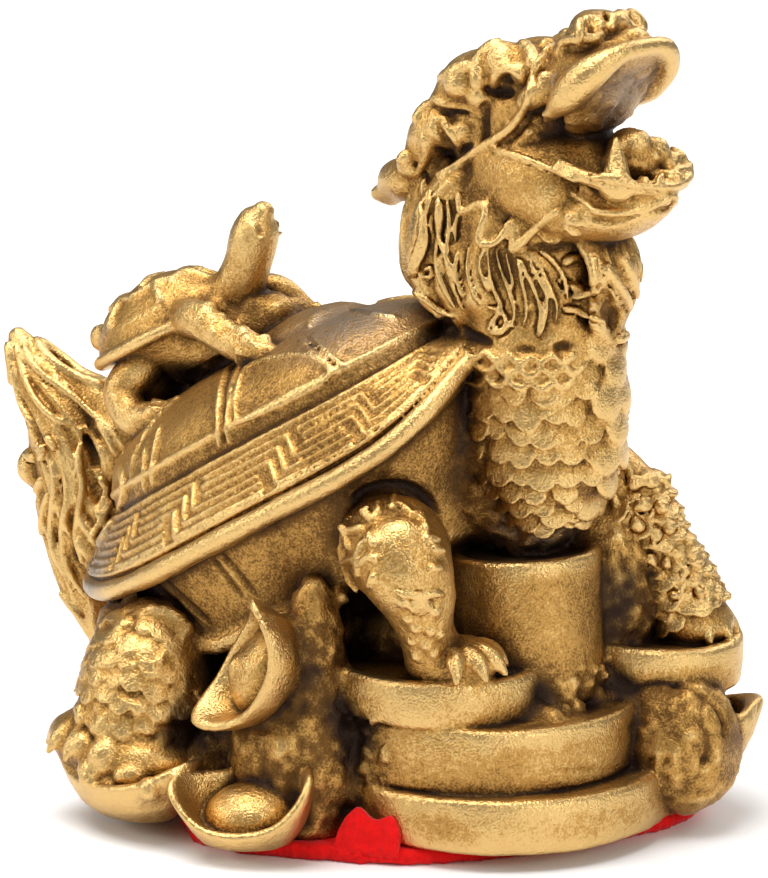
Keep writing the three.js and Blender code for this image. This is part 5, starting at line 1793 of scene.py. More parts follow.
@dataclass
class Mane:
    """The mane behind the jaws: long waved strands, curls and the leaf of the ruff."""

    SEAM: ClassVar[list[Stroke]] = [
        (0.42, [(5.5, 7.9), (6.2, 7.3), (6.9, 7.2), (7.7, 6.8)]),
        (0.34, [(9.5, 6.7), (10.1, 6.3), (10.8, 6.4)]),
        (0.4, [(12.2, 6.4), (12.8, 6.7), (13.5, 6.6)]),
    ]
    SEAM_SCALES = [
        (6.5, 6.5), (8.1, 6.3), (9.7, 6.1), (11.2, 6.2), (12.8, 6.2), (7.3, 5.5), (8.9, 5.3), (10.4, 5.2),
        (12, 5.3), (13.5, 5.4), (6.6, 4.5), (8.1, 4.4), (9.7, 4.3), (11.3, 4.2), (12.8, 4.4),
    ]

    wax: Wax
    fineness: float = 0.66

    def __post_init__(self) -> None:
        """Welds the mane."""
        self.drawing = Drawing(self.wax, HEAD_AXIS_X, HEAD_TURN)
        self.rng = np.random.default_rng(SEED + 4)
        self.skirt()
        for side in (1, -1):
            self.back(side)
        self.ruff()
        finer = [(self.fineness * girth, places) for girth, places in MANE_STRANDS]
        self.drawing.raise_lines(finer, Wear.RUBBED, 0.6, 0.16)
        self.drawing.engrave(self.SEAM, Flank.NEAR)
        lip = np.linspace(math.pi, 2 * math.pi, 11)
        arcs = [(0.24, np.stack([x + 0.78 * np.cos(lip), y + 0.85 * np.sin(lip)], 1))
                for x, y in self.SEAM_SCALES]
        self.drawing.raise_lines(arcs, Wear.CARVED, 0.4, 0.0, Flank.NEAR)

    def skirt(self) -> None:
        """Welds the pleated mass that the strands lie on."""
        rows = [(35.6, 5.2, 0.6), (37, 6.3, 0.9), (38.6, 7.1, 0.7), (41, 7.3, 0.3), (44, 6.8, 0),
                (47.4, 5.2, 0)]
        turn = circle(144)
        rings = []
        for z, reach, ragged in rows:
            pleat = 1 - 0.04 * (1 + np.cos(12 * turn + 0.8 * math.sin(z)))
            rings.append(on_head(np.stack([
                8 + reach * pleat * np.cos(turn), 0.85 * reach * pleat * np.sin(turn),
                z + ragged * 0.5 * np.sin(5 * turn)], 1)))
        self.wax.weld(skin(np.array(rings)), Wear.CARVED, 0.4)

    def back(self, side: int) -> None:
        """Lays the locks on the back of the neck."""
        for stops in [
            [(4.6, 3.0, 46.6, 1.2), (2.8, 3.2, 44.2, 1.3), (1.8, 3.1, 41.6, 1.2), (1.4, 2.8, 39.2, 0.9),
             (2.4, 2.8, 37.6, 0.4)],
            [(6.4, 4.2, 46.2, 1.2), (4.8, 4.6, 43.6, 1.4), (4.2, 4.8, 40.8, 1.3), (4.4, 4.8, 38.4, 0.9),
             (5.4, 4.8, 37, 0.4)],
            [(3.8, 1.0, 46.8, 1.2), (1.8, 1.1, 44.2, 1.3), (0.8, 1.0, 41.4, 1.2), (0.6, 0.9, 39, 0.9),
             (1.2, 0.9, 37.2, 0.4)],
        ]:
            lock = Limb([(x, side * y, z, r) for x, y, z, r in stops], on_head)
            self.wax.weld(lock.shape(30, 40), Wear.FILLER, 0.2)
            self.wax.weld(combed(lock, 10, 0.46, 0.3, self.rng).shape(), Wear.CARVED, 0.05)

    def ruff(self) -> None:
        """Welds the leaf of hair before the throat, hollow between curled edges."""
        leaf = Limb([
            (14, 0.4, 43.8, 2.5, 0.95), (16, 0.6, 41.4, 3.2, 0.9), (16.1, 0.8, 38.8, 3.0, 0.85),
            (15.6, 1, 36.8, 2.1, 0.75), (15.8, 1.2, 35.6, 0.7, 0.4)], on_head)
        self.wax.weld(leaf.shape(50, 50), Wear.FILLER, 0.3)
        t = np.linspace(0.02, 0.98, 40)
        edges = [(leaf.surface(t, angle, -0.15)[0], 0.4) for angle in (0.0, math.pi)]
        self.wax.weld(rolled(*edges, sides=10), Wear.CARVED, 0.1)
        self.wax.weld(combed(leaf, 18, 0.3, 0.1, self.rng, (0.1, 0.9)).shape(), Wear.CARVED, 0.05)
        self.drawing.engrave(RUFF_HOLLOW, Flank.NEAR)
        self.drawing.raise_lines(RUFF_STROKES, Wear.CARVED, 0.3, 0.15, Flank.NEAR)


TAIL_STRANDS: list[Stroke] = [
    (0.42, [(-25, 7.5), (-24.6, 6.6), (-23.3, 5.3), (-21.4, 4.3), (-19.8, 3.7), (-18.7, 3.5)]),
    (0.4, [(-26.8, 6.9), (-26.6, 4.7), (-26.4, 2.8), (-26.1, 1), (-25.7, 0)]),
    (0.32, [(-25.8, 6.7), (-25.2, 5.5), (-24.2, 4.5), (-22.2, 3.1), (-20.6, 1.6), (-19.1, 0.4)]),
    (0.3, [(-26.3, 6.7), (-25.5, 3.9), (-24.2, 2), (-22.6, 1)]),
    (0.3, [(-26.5, 5.1), (-25.9, 2.3), (-25, 0.8)]),
    (0.34, [(-24.2, 0.5), (-23.4, -0.3), (-22.8, -2.2), (-22.6, -4.4), (-23, -6)]),
    (0.34, [(-24.9, -0.3), (-24, -1.1), (-23.5, -2.7), (-23.6, -4.4), (-23.8, -6.2), (-23.6, -8.1),
        (-22.8, -9.8)]),
    (0.34, [(-20.6, 1.3), (-19.5, -0.3), (-18.7, -2.5), (-18.7, -4.4), (-19.5, -6), (-20.4, -7.6)]),
    (0.3, [(-21.4, 1), (-20.3, -0.6), (-19.8, -2.5), (-19.9, -4.1), (-20.6, -5.5)]),
    (0.3, [(-20.4, -2.8), (-19.5, -3.9), (-19.8, -5.2), (-21.1, -7.3)]),
    (0.36, [(-24.5, -2.8), (-25, -4.4), (-25.2, -6.8), (-24.7, -9.2), (-23.6, -11.6), (-22.6, -13),
        (-21.1, -14.5)]),
    (0.32, [(-24, -3.9), (-24.4, -5.4), (-24.4, -7.3), (-23.9, -9.5), (-22.8, -11.4), (-21.5, -12.9)]),
    (0.32, [(-22.6, -4.4), (-23, -6.3), (-22.9, -8.1), (-22.2, -10), (-21.2, -11.4)]),
    (0.3, [(-21.7, -0.3), (-21.8, -1.9), (-21.5, -3.5), (-21.8, -5.1), (-22, -7), (-21.5, -8.9)]),
]

TAIL_HOLLOWS: list[Stroke] = [
    (0.55, [(-21.2, 0.4), (-20.7, -0.9), (-20.6, -2.2)]),
    (0.45, [(-22.2, -5.4), (-22.2, -7.3), (-22, -8.7)]),
]


@dataclass
class Tail:
    """The tail, a flame of combed hair that stands up behind the shell."""

    wax: Wax
    tip_lump: tuple[float, float, float] = (1.3, 1.9, 1.5)
    curl_girth: float = 0.36

    def __post_init__(self) -> None:
        """Welds the locks of the tail."""
        rng = np.random.default_rng(SEED + 5)
        for stops, count, waves in [
            ([(-21, 0, 14, 3.0, 4.0), (-26.8, 0, 18.4, 2.9, 3.4), (-28.4, 0, 23.2, 2.8, 3.4),
              (-30.1, 0, 26.6, 2.4, 2.7), (-32.4, 0, 29.2, 1.5, 1.7), (-33.6, 0, 31.0, 0.6, 0.7)], 22, 0.9),
            ([(-26.8, 0, 8.8, 0.7, 0.7), (-27.8, 0, 12.4, 1.8, 1.7), (-28.7, 0, 16.4, 2.3, 2.2),
              (-29.4, 0, 20, 2.2, 2.6), (-31.6, 0, 21.4, 1.4, 1.4)], 18, 1.1),
            ([(-22.4, 0, 21, 1.6, 2.2), (-23.8, 0, 24.4, 1.8, 2.4), (-26.4, 0, 26.2, 1.2, 1.8),
              (-29.6, 0, 27.8, 0.9, 1.2), (-31.4, 0, 29.6, 0.5, 0.6)], 14, 1.4),
        ]:
            lock = Limb(stops)
            self.wax.weld(lock.shape(40, 60), Wear.CARVED, 0.3)
            hair = combed(lock, count, 0.5, 0.3, rng, (0.02, 0.99), waves)
            self.wax.weld(hair.shape(10), Wear.CARVED, 0.06)
        self.wax.weld(lump(at((-32.0, 0, 21.3)), self.tip_lump), Wear.CARVED, 0.5)
        drawing = Drawing(self.wax)
        drawing.engrave(TAIL_HOLLOWS)
        drawing.raise_lines(TAIL_STRANDS, Wear.RUBBED, 0.25, 0.05)
        drawing.curls([(-24.8, -0.8, 1.35)], self.curl_girth, Wear.RUBBED)


@dataclass
class SmallTurtle:
    """The young turtle that climbs the shell with its head raised."""

    LEG_GRIT = [
        (-12.6, 9.3, 0.45, 9), (-11.2, 8.3, 0.5, 10), (-9.6, 7, 0.5, 9), (-8.4, 6.1, 0.35, 6),
    ]

    wax: Wax
    tilt: float = math.radians(-27)
    middle: tuple[float, float, float] = (-19.9, 0.0, 32.9)
    half_length: float = 6.4
    half_width: float = 4.9

    def __post_init__(self) -> None:
        """Welds the small turtle."""
        self.rng = np.random.default_rng(SEED + 6)
        self.shell()
        self.body()

    def place(self, forward: Array, left: Array, up: Array) -> Array:
        """Gives places in the small shell's own frame."""
        forward, left, up = np.broadcast_arrays(*(np.asarray(v, float) for v in (forward, left, up)))
        cos, sin = math.cos(self.tilt), math.sin(self.tilt)
        x, z = forward * cos + up * sin, -forward * sin + up * cos
        return np.stack([x, left, z], -1) * SHARE + at(self.middle)[0]

    def dome(self, reach: Array, angle: Array) -> Array:
        """Gives places on the small dome, by their share of the way out and their turn."""
        height = np.interp(reach, [0.2, 0.42, 0.62, 0.78, 0.9, 0.96], [3.95, 3.55, 2.95, 2.15, 1.25, 0.25])
        return self.place(self.half_length * reach * np.cos(angle), self.half_width * reach * np.sin(angle),
                          height)

    def shell(self) -> None:
        """Welds the small shell with its rim and its scutes."""
        turn = circle(120)
        rows = [(0.2, -3.6, 3.2), (0.6, -3.4, 3.4), (0.86, -0.9, 1), (0.97, -0.4, 0.1), (0.96, 0.2, 0),
                (0.9, 1.2, 0), (0.78, 2.1, 0), (0.62, 2.9, 0.1), (0.42, 3.5, 0.2), (0.2, 3.9, 0.2)]
        rings = [self.place(ahead + self.half_length * reach * np.cos(turn),
                            self.half_width * reach * np.sin(turn), height)
                 for reach, height, ahead in rows]
        self.wax.weld(skin(np.array(rings)), Wear.SAND, 0.3)
        ring = np.linspace(0, 2 * math.pi, 90)
        lines = [(self.place(6.3 * np.cos(ring), 4.8 * np.sin(ring), -0.25), 0.46),
                 (self.place(5.4 * np.cos(ring), 4.1 * np.sin(ring), 1.35), 0.2)]
        degrees = (8, 36, 62, 90, 118, 146, 172)
        fine = np.linspace(0, len(degrees) - 1, 60)
        for side in (1, -1):
            angles = side * np.radians(degrees)
            reach = np.linspace(0.5, 0.84, 10)
            lines += [(self.dome(reach, np.full(10, angle)), 0.3) for angle in angles[::2]]
            zigzag = 0.5 + 0.1 * (np.arange(len(degrees)) % 2)
            lines.append((self.dome(np.interp(fine, range(len(degrees)), zigzag),
                                    np.interp(fine, range(len(degrees)), angles)), 0.3))
        for forward in (-2.6, 0.4, 3.0):
            left = np.linspace(-2.3, 2.3, 12)
            reach = np.hypot(forward / self.half_length, left / self.half_width)
            turn = np.arctan2(left / self.half_width, np.full(12, forward / self.half_length))
            lines.append((self.dome(reach, turn), 0.28))
        self.wax.weld(rolled(*lines, sides=10), Wear.RUBBED, 0.12)
        self.wax.weld(lump(at((-26.0, 0, 31.6)), (1.0, 0.8, 1.0)), Wear.RUBBED, 0.3)

    def body(self) -> None:
        """Welds the head on its neck, the feet and the filled room beneath."""
        neck = Limb([
            (-16.4, 0, 34.6, 1.9), (-14.3, 0, 36.4, 1.85), (-13.4, 0, 38.4, 1.75), (-12.9, 0, 40.2, 1.8),
            (-12.5, 0, 41.4, 1.45), (-12.1, 0, 42.1, 0.8)])
        self.wax.weld(neck.shape(), Wear.RUBBED, 0.3)
        eyes = Strands()
        turn = np.linspace(0, 2 * math.pi, 18)
        for side in (1, -1):
            ring = np.stack([-12.3 + 0.5 * np.cos(turn), np.full(18, side * 1.5),
                             40.9 + 0.4 * np.sin(turn)], 1)
            eyes.add(at(ring), 0.13)
            mouth = at([(-11.0, side * 0.7, 41.0), (-11.6, side * 1.4, 40.3), (-12.6, side * 1.6, 39.9)])
            eyes.add(mouth, 0.1, 10)
        self.wax.weld(eyes.shape(), Wear.CARVED, 0.08)
        for place, size, pitch in [
            ((-15.4, 0.3, 32.6), (6, 2.9, 3), -27), ((-12, 2.2, 33.8), (2.4, 2.2, 2), 0),
            ((-21.2, 0, 28.6), (2, 3, 2.8), 0),
        ]:
            self.wax.weld(lump(at(place), size, pitch=pitch), Wear.FILLER, 0.3)
        legs = [
            [(-17, -2.8, 34.4, 1.4), (-15, -4.2, 34.7, 1.35), (-12.6, -4.8, 33.8, 1.15),
             (-10.2, -5.2, 33.2, 1.2), (-8.2, -5.4, 32.9, 0.7)],
            [(-15.6, 2.4, 35.4, 1.3), (-13, 3.2, 35.8, 1.2), (-11.2, 3.9, 34.4, 1.05),
             (-9.6, 4.4, 33.2, 0.95)],
        ]
        for side in (1, -1):
            legs.append([(-20.8, side * 2.6, 30.6, 1.5), (-22, side * 3.4, 28.6, 1.4),
                         (-20.4, side * 4.4, 27, 1.3), (-18, side * 4.8, 27.3, 1.2),
                         (-16.4, side * 5, 27.7, 0.7)])
        t = np.linspace(0.72, 1, 8)
        for stops in legs:
            leg = Limb(stops)
            self.wax.weld(leg.shape(), Wear.CARVED, 0.25)
            toes = [(leg.surface(t, angle, -0.05)[0], 0.3) for angle in circle(8)]
            self.wax.weld(rolled(*toes), Wear.CARVED, 0.08)
        Drawing(self.wax).grit(self.LEG_GRIT, self.rng, Wear.CARVED)
        for side in (1, -1):
            fur = Limb([(-19.4, side * 3.6, 27.4, 1.0), (-18.6, side * 3.9, 25.6, 0.9),
                        (-18.2, side * 4.2, 24.4, 0.5), (-17.8, side * 4.3, 23.5, 0.2)])
            self.wax.weld(combed(fur, 7, 0.5, 0.3, self.rng).shape(), Wear.CARVED, 0.15)


# The pieces

@dataclass
class Casting:
    """The brass casting as one mesh.

    FILMS are places where a pale film dulls the brass, and the shade patches those where the brass is
    painted darker as shade, under the figure and in recesses between its parts, each with its reach in
    mm. The mesh is thinned to a number of triangles, most where the skin faces the carver by less than
    facing, and favour says how much. The frame's own solid, drawn in by core_inset, is its core.
    """

    FILMS = [
        ((-3, -3.5, 36.5), 7), ((-22.5, -8.5, 16.5), 5.5), ((17, -1.5, 53), 3.6), ((9.5, 0, 20.6), 4.2),
        ((8.6, -8.2, 29), 1.6), ((13.8, -4.6, 53.7), 0.9),
    ]
    # Places painted darker as shade: under the belly, among the coins and ingots, under the throat and in
    # other recesses
    SHADE_PATCHES = [
        ((-11.2, -12.8, 8.6), 4), ((1.6, -10.6, 8.5), 4.6), ((-2.4, -11.5, 9), 4.6),
        ((-0.9, -12.6, 13.4), 3.6), ((-1.2, -14, 15), 2.8), ((0.5, -8, 16), 4.6), ((11.8, -4.4, 10.6), 3.2),
        ((14, 4, 17), 4.4), ((8.4, -7, 32.6), 2), ((-17, -3.5, 29.6), 2.6), ((-10, -11.4, 11), 3),
        ((9.4, 1, 20.6), 3), ((16, 2.6, 10.6), 2.2), ((5.2, 0, 37), 2.6),
    ]

    material: bpy.types.Material
    triangles: int = 190_000
    favour: float = 5e-6
    facing: float = 0.05
    core_inset: float = 0.6

    def __post_init__(self) -> None:
        """Sculpts the wax and makes the mesh."""
        low, high = (np.array(corner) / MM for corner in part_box("casting"))
        core = shape_of(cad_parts["casting"].data)
        self.wax = Wax(low, high)
        self.wax.weld(Shape(core.points / MM, core.faces), Wear.FILLER, inset=self.core_inset)
        for part in (Base, Shell, Neck, Legs, Head, Tail, SmallTurtle):
            part(self.wax)
            LOG.info("%s is in the wax", part.__name__)
        self.object = self.mesh(low, high)
        self.object.data.materials.append(self.material)
        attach(self.object, "root")
        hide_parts("casting")

    def mesh(self, low: Array, high: Array) -> bpy.types.Object:
        """Makes the mesh from the wax, inside a box, with the numbers that its finish reads."""
        name = "dragon_turtle_casting"
        points, quads = self.wax.skin()
        LOG.info("The wax has %d faces", len(quads))
        out = self.outward(points)
        points = np.clip(points + out * self.grain(points)[:, None], low, high)
        full = bpy.data.meshes.new(name)
        full.from_pydata((points * MM).tolist(), [], quads.tolist())
        full.update()
        made = linked(name, full)
        spare = made.vertex_groups.new(name="spare")
        spare.add(list(range(len(points))), 0.5, "REPLACE")
        spare.add(np.flatnonzero(out @ TO_EYE < self.facing).tolist(), 1.0, "REPLACE")
        thin = made.modifiers.new("thin", "DECIMATE")
        thin.ratio = min(1.0, self.triangles / (2 * len(quads)))
        thin.vertex_group = "spare"
        thin.vertex_group_factor = self.favour
        graph = bpy.context.evaluated_depsgraph_get()
        light = bpy.data.meshes.new_from_object(made.evaluated_get(graph), depsgraph=graph)
        made.modifiers.remove(thin)
        made.data = light
        made.vertex_groups.clear()
        bpy.data.meshes.remove(full)
        light.name = name
        light.shade_smooth()
        self.mark(light)
        return made

    def grain(self, points: Array) -> Array:
        """Gives how far the sand swelled the skin at places in mm, most where it is rough."""
        coarse = np.clip(1 - self.wax.read(self.wax.wear, points) / (Wax.FULL * Wear.SAND.value), 0, 1)
        return (0.1 * Grain(3.2, SEED + 7).at(points) + 0.03 * Grain(0.9, SEED + 8).at(points)
                + coarse * (0.1 * Grain(1.3, SEED + 10).at(points) + 0.2 * Grain(0.6, SEED + 11).at(points)))

    def outward(self, points: Array) -> Array:
        """Gives the outward directions of the wax at places."""
        distance = self.wax.distance
        shifts = np.eye(3) * self.wax.STEP
        slopes = [self.wax.read(distance, points + shift) - self.wax.read(distance, points - shift)
                  for shift in shifts]
        return unit(np.stack(slopes, 1))

    def mark(self, mesh: bpy.types.Mesh) -> None:
        """Writes onto the mesh how deep each place lies in small hollows, for the patina, and in large ones,
        for painted shade, and how it wore.
        """
        points = shape_of(mesh).points / MM
        marks = {}
        # Small hollows get the patina; the depth in large hollows is turned into painted shade
        for name, radius in (("fine_hollow", 0.5), ("deep_hollow_shade", 2.2)):
            values, every = self.wax.blurred(radius)
            marks[name] = -self.wax.read(values, points, every) / min(radius, self.wax.far)
        marks["wear"] = self.wax.read(self.wax.wear, points) / Wax.FULL
        marks["film"] = self.patches(points, self.FILMS)
        # Patches that are painted darker as shade, under the figure and between its parts
        marks["painted_shade"] = self.patches(points, self.SHADE_PATCHES)
        for name, values in marks.items():
            mesh.attributes.new(name, "FLOAT", "POINT").data.foreach_set("value", values.astype(np.float32))
            LOG.info("%s: %s", name, np.percentile(values, (5, 50, 95)).round(2))

    @staticmethod
    def patches(points: Array, spots: Sequence[tuple[Sequence[float], float]]) -> Array:
        """Says how far places lie in soft round patches.

        Args:
            points: The places in mm.
            spots: The drawn place of each patch and its reach in mm.

        Returns:
            A share for each place, from 0 outside every patch to 1 well inside one.
        """
        share = np.zeros(len(points))
        for place, reach in spots:
            gap = np.linalg.norm(points - at(place), axis=1) / reach
            share = np.maximum(share, np.clip(1.4 - 1.4 * gap, 0, 1))
        return share


@dataclass
class FeltPad:
    """The cut pad of red felt, with the loose tongue of it that stands up before the coins.

    The fringe is a sum of grains, each by its depth and its size in mm. The tongue runs from one place on
    the pad to another.
    """

    TONGUE_FACE = np.array([0.24, -0.97, 0.0])
    TONGUE_LEAN = np.array([0.12, 0.5, 0.0])

    material: bpy.types.Material
    columns: int = 900
    fringe: tuple[tuple[float, float], ...] = ((0.2, 1.6), (0.12, 0.5), (0.07, 0.2))
    tongue_ends: tuple[tuple[float, float], ...] = ((1.8, -13.7), (6.2, -12.6))
    tongue_height: float = 2.7
    tongue_half: float = 0.4

    def __post_init__(self) -> None:
        """Cuts the pad and its tongue."""
        self.turn = np.linspace(-math.pi, math.pi, self.columns, endpoint=False)
        self.middle, self.reach = self.outline(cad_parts["felt_pad"])
        low, high = (np.array(corner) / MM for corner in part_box("felt_pad"))
        pad, tongue = self.pad(), self.tongue()
        pad = Shape(np.clip(pad.points, low, high), pad.faces)
        mesh = bpy.data.meshes.new("felt_pad_cut")
        points = np.vstack([pad.points, tongue.points]) * MM
        faces = np.vstack([self.outwards(pad), self.outwards(tongue) + len(pad.points)])
        mesh.from_pydata(points.tolist(), [], faces.tolist())
        mesh.update()
        mesh.shade_smooth()
        mesh.materials.append(self.material)
        self.object = linked("felt_pad_cut", mesh)
        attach(self.object, "root")
        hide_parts("felt_pad")
        cut = 0.5 * math.sin(2 * math.pi / self.columns) * (self.reach * np.roll(self.reach, 1)).sum()
        cut += self.tongue_height * 0.7 * np.linalg.norm(np.subtract(*self.tongue_ends))

    def outline(self, node: bpy.types.Object) -> tuple[Array, Array]:
        """Reads the cut edge from the frame's pad.

        Args:
            node: The frame's felt pad.

        Returns:
            Its middle and how far its edge lies from it at each turn, in mm.
        """
        points = np.array([vertex.co[:] for vertex in node.data.vertices]) / MM
        edge = np.unique(points[points[:, 2] < FELT / 4, :2].round(2), axis=0)
        middle = edge.mean(0)
        turns = np.arctan2(*(edge - middle).T[::-1])
        order = np.argsort(turns)
        reach = np.linalg.norm(edge - middle, axis=1)[order]
        return middle, np.interp(self.turn, turns[order], reach, period=2 * math.pi)

    def pad(self) -> Shape:
        """Makes the flat of the pad, with the fringed edge that scissors leave."""
        around = np.stack([np.cos(self.turn), np.sin(self.turn)], 1)
        edge = np.column_stack([around * self.reach[:, None], np.zeros(self.columns)])
        fringe = sum(depth * Grain(size, SEED + 20 + k).at(edge)
                     for k, (depth, size) in enumerate(self.fringe))
        rows = [(0.1, 0.0), (0.6, 0.0), (0.95, 0.0), (0.985, 0.08), (1.0, 0.45), (0.997, 0.75), (0.985, 0.96),
                (0.95, 1.0), (0.8, 1.0), (0.4, 1.0), (0.1, 1.0)]
        rings = []
        for share, up in rows:
            reach = self.reach * share + (fringe - 0.2) * (share > 0.9)
            height = np.full(self.columns, up * FELT)
            ring = np.column_stack([self.middle + around * reach[:, None], height])
            ring[:, 2] += 0.1 * Grain(0.8, SEED + 24).at(ring) * (0 < up)
            rings.append(ring)
        return skin(np.array(rings))

    def tongue(self) -> Shape:
        """Makes the tongue, which leans on the coins."""
        foot, end = np.array(self.tongue_ends)
        sunk = 0.5
        count = 60
        v = np.linspace(0, 1, 10)[:, None]
        half = self.tongue_half * (1 - 0.35 * v ** 3) * self.TONGUE_FACE
        rings = []
        for u in np.linspace(0, 1, count):
            ragged = 0.82 + 0.18 * math.cos(9 * u - 2)
            height = self.tongue_height * math.sin(math.pi * u) ** 0.35 * ragged + 0.15
            spine = np.array([*(foot + (end - foot) * u), FELT - sunk])
            spine = spine + self.TONGUE_LEAN * v ** 2 * height * 0.4
            spine = spine + np.array([0, 0, 1.0]) * v * (height + sunk)
            rings.append(np.vstack([spine + half, (spine - half)[::-1]]))
        points = np.array(rings)
        places = points.reshape(-1, 3)
        fuzz = 0.16 * Grain(0.8, SEED + 25).at(places) + 0.09 * Grain(0.3, SEED + 26).at(places)
        return skin(points + fuzz.reshape(count, -1, 1) * (self.TONGUE_FACE + np.array([0, 0, 0.6])))

    @staticmethod
    def outwards(shape: Shape) -> Array:
        """Gives a closed shape's triangles so that they face outwards."""
        a, b, c = (shape.points[shape.faces[:, k]] for k in range(3))
        return shape.faces if (a * np.cross(b, c)).sum() > 0 else shape.faces[:, ::-1]


# Finishes

def linear(code: str) -> tuple[float, float, float, float]:
    """Turns an sRGB colour such as "#b8923f" into linear light."""
    parts = [int(code[i:i + 2], 16) / 255 for i in (1, 3, 5)]
    red, green, blue = (p / 12.92 if p <= 0.04045 else ((p + 0.055) / 1.055) ** 2.4 for p in parts)
    return red, green, blue, 1.0


SMOOTH = {"interpolation_type": "SMOOTHSTEP"}

# The sockets of a mix of colours, which share their names with those of a mix of numbers
FIRST_COLOUR, SECOND_COLOUR, MIXED_COLOUR = 6, 7, 2


def spread(value: bpy.types.NodeSocket, low: float, high: float, to_low: float = 0.0,
           to_high: float = 1.0) -> dict[str, object]:
    """Says what a map range reads, to spread a range of a number over another."""
    return {"Value": value, "From Min": low, "From Max": high, "To Min": to_low, "To Max": to_high}


@dataclass(frozen=True)
class Finish:
    """A finish, which makes its own material."""

    name: str

    def start(self) -> tuple[bpy.types.NodeTree, bpy.types.Node, bpy.types.Material]:
        """Starts a material.

        Returns:
            Its tree, its shader and the material.
        """
        material = bpy.data.materials.new(self.name)
        material.use_nodes = True
        tree = material.node_tree
        tree.nodes.clear()
        shader = add_node(tree, "ShaderNodeBsdfPrincipled")
        add_node(tree, "ShaderNodeOutputMaterial", None, {"Surface": shader.outputs[0]})
        return tree, shader, material


@dataclass(frozen=True)
class CastBrass(Finish):
    """Sand-cast brass: the eye gets a grainy gold gleam on rubbed crowns, patina in small hollows and painted
    shade in deep ones.
    """

    gold: str = "#b88d4c"
    pale: str = "#d8b373"
    patina: str = "#73522b"
    # The near-black brown of the patina in small hollows, also laid on as painted shade in deep hollows and
    # shade patches
    dark: str = "#27160a"
    film: str = "#96826c"
    sand_mm: float = 0.16
    pits_mm: float = 0.5
    stain_mm: float = 3.0
    relief_mm: float = 0.07

    def make(self) -> bpy.types.Material:
        """Makes the material."""
        tree, shader, material = self.start()
        place = add_node(tree, "ShaderNodeTexCoord").outputs["Object"]
        sand, pits, stain = (
            add_node(tree, "ShaderNodeTexNoise", {"noise_dimensions": "3D"}, {
                "Vector": place, "Scale": 1 / (size * MM), "Detail": detail}).outputs["Fac"]
            for size, detail in ((self.sand_mm, 2.0), (self.pits_mm, 3.0), (self.stain_mm, 3.0)))
        fine, deep, wear, film, painted_shade = (
            add_node(tree, "ShaderNodeAttribute", {"attribute_name": name}).outputs["Fac"]
            for name in ("fine_hollow", "deep_hollow_shade", "wear", "film", "painted_shade"))

        # How high the skin stands out of its own grain and hollows, and so how bright it was rubbed
        grit = add_node(tree, "ShaderNodeMapRange", SMOOTH, spread(sand, 0.32, 0.68, 0.0, 0.24)).outputs[0]
        dents = add_node(tree, "ShaderNodeMapRange", SMOOTH, spread(pits, 0.3, 0.7, 0.0, 0.14)).outputs[0]
        rough = add_node(tree, "ShaderNodeMath", {"operation": "ADD"}, {0: grit, 1: dents}).outputs[0]
        worn = add_node(tree, "ShaderNodeMath", {"operation": "MULTIPLY_ADD"}, {0: wear, 1: 0.22, 2: rough})
        height = add_node(tree, "ShaderNodeMath", {"operation": "SUBTRACT"}, {0: worn.outputs[0], 1: fine})
        tone = add_node(tree, "ShaderNodeMapRange", SMOOTH, spread(height.outputs[0], -0.1, 0.75)).outputs[0]
        golden = add_node(tree, "ShaderNodeMapRange", SMOOTH, spread(tone, 0.0, 0.6))
        bright = add_node(tree, "ShaderNodeMapRange", SMOOTH, spread(tone, 0.62, 1.05))
        filmed = add_node(tree, "ShaderNodeMapRange", SMOOTH, spread(pits, 0.2, 0.55))
        dull = add_node(tree, "ShaderNodeMath", {"operation": "MULTIPLY"}, {0: film, 1: filmed.outputs[0]})

        # How dark the skin is painted: patina in small hollows, random stains, and painted shade in large
        # hollows and in the shade patches under and between the parts
        stain_and_hollow_shade = add_node(tree, "ShaderNodeMath", {"operation": "MULTIPLY_ADD"}, {0: stain, 1: 0.9, 2: deep})
        stain_and_shade = add_node(tree, "ShaderNodeMath", {"operation": "MULTIPLY_ADD"}, {
            0: painted_shade, 1: 0.6, 2: stain_and_hollow_shade.outputs[0]})
        nook = add_node(tree, "ShaderNodeMath", {"operation": "MULTIPLY_ADD"}, {0: rough, 1: -0.25, 2: fine})
        large = add_node(tree, "ShaderNodeMapRange", SMOOTH, spread(stain_and_shade.outputs[0], 0.57, 1.2))
        small = add_node(tree, "ShaderNodeMapRange", SMOOTH, spread(nook.outputs[0], 0.08, 0.5))
        # The dark colour's share: patina in small hollows, painted shade in large ones and in the shade
        # patches, with stains
        murk = add_node(tree, "ShaderNodeMath", {"operation": "MAXIMUM"}, {
            0: small.outputs[0], 1: large.outputs[0]}).outputs[0]

        colour = linear(self.patina)
        for share, over in ((golden.outputs[0], self.gold), (bright.outputs[0], self.pale),
                            (dull.outputs[0], self.film), (murk, self.dark)):
            layer = add_node(tree, "ShaderNodeMix", {"data_type": "RGBA"}, {
                "Factor": share, FIRST_COLOUR: colour, SECOND_COLOUR: linear(over)})
            colour = layer.outputs[MIXED_COLOUR]
        metal = add_node(tree, "ShaderNodeMapRange", SMOOTH, spread(murk, 0.2, 1.0, 1.0, 0.75))
        matt = add_node(tree, "ShaderNodeMapRange", SMOOTH, spread(tone, 0.1, 1.0, 0.54, 0.34))
        pitted = add_node(tree, "ShaderNodeBump", None, {
            "Strength": 1.0, "Distance": self.relief_mm * MM, "Height": pits})
        sandy = add_node(tree, "ShaderNodeBump", None, {
            "Strength": 1.0, "Distance": self.relief_mm * MM, "Height": sand, "Normal": pitted.outputs[0]})
        for socket, name in ((colour, "Base Color"), (metal.outputs[0], "Metallic"),
                             (matt.outputs[0], "Roughness"), (sandy.outputs[0], "Normal")):
            tree.links.new(socket, shader.inputs[name])
        return material


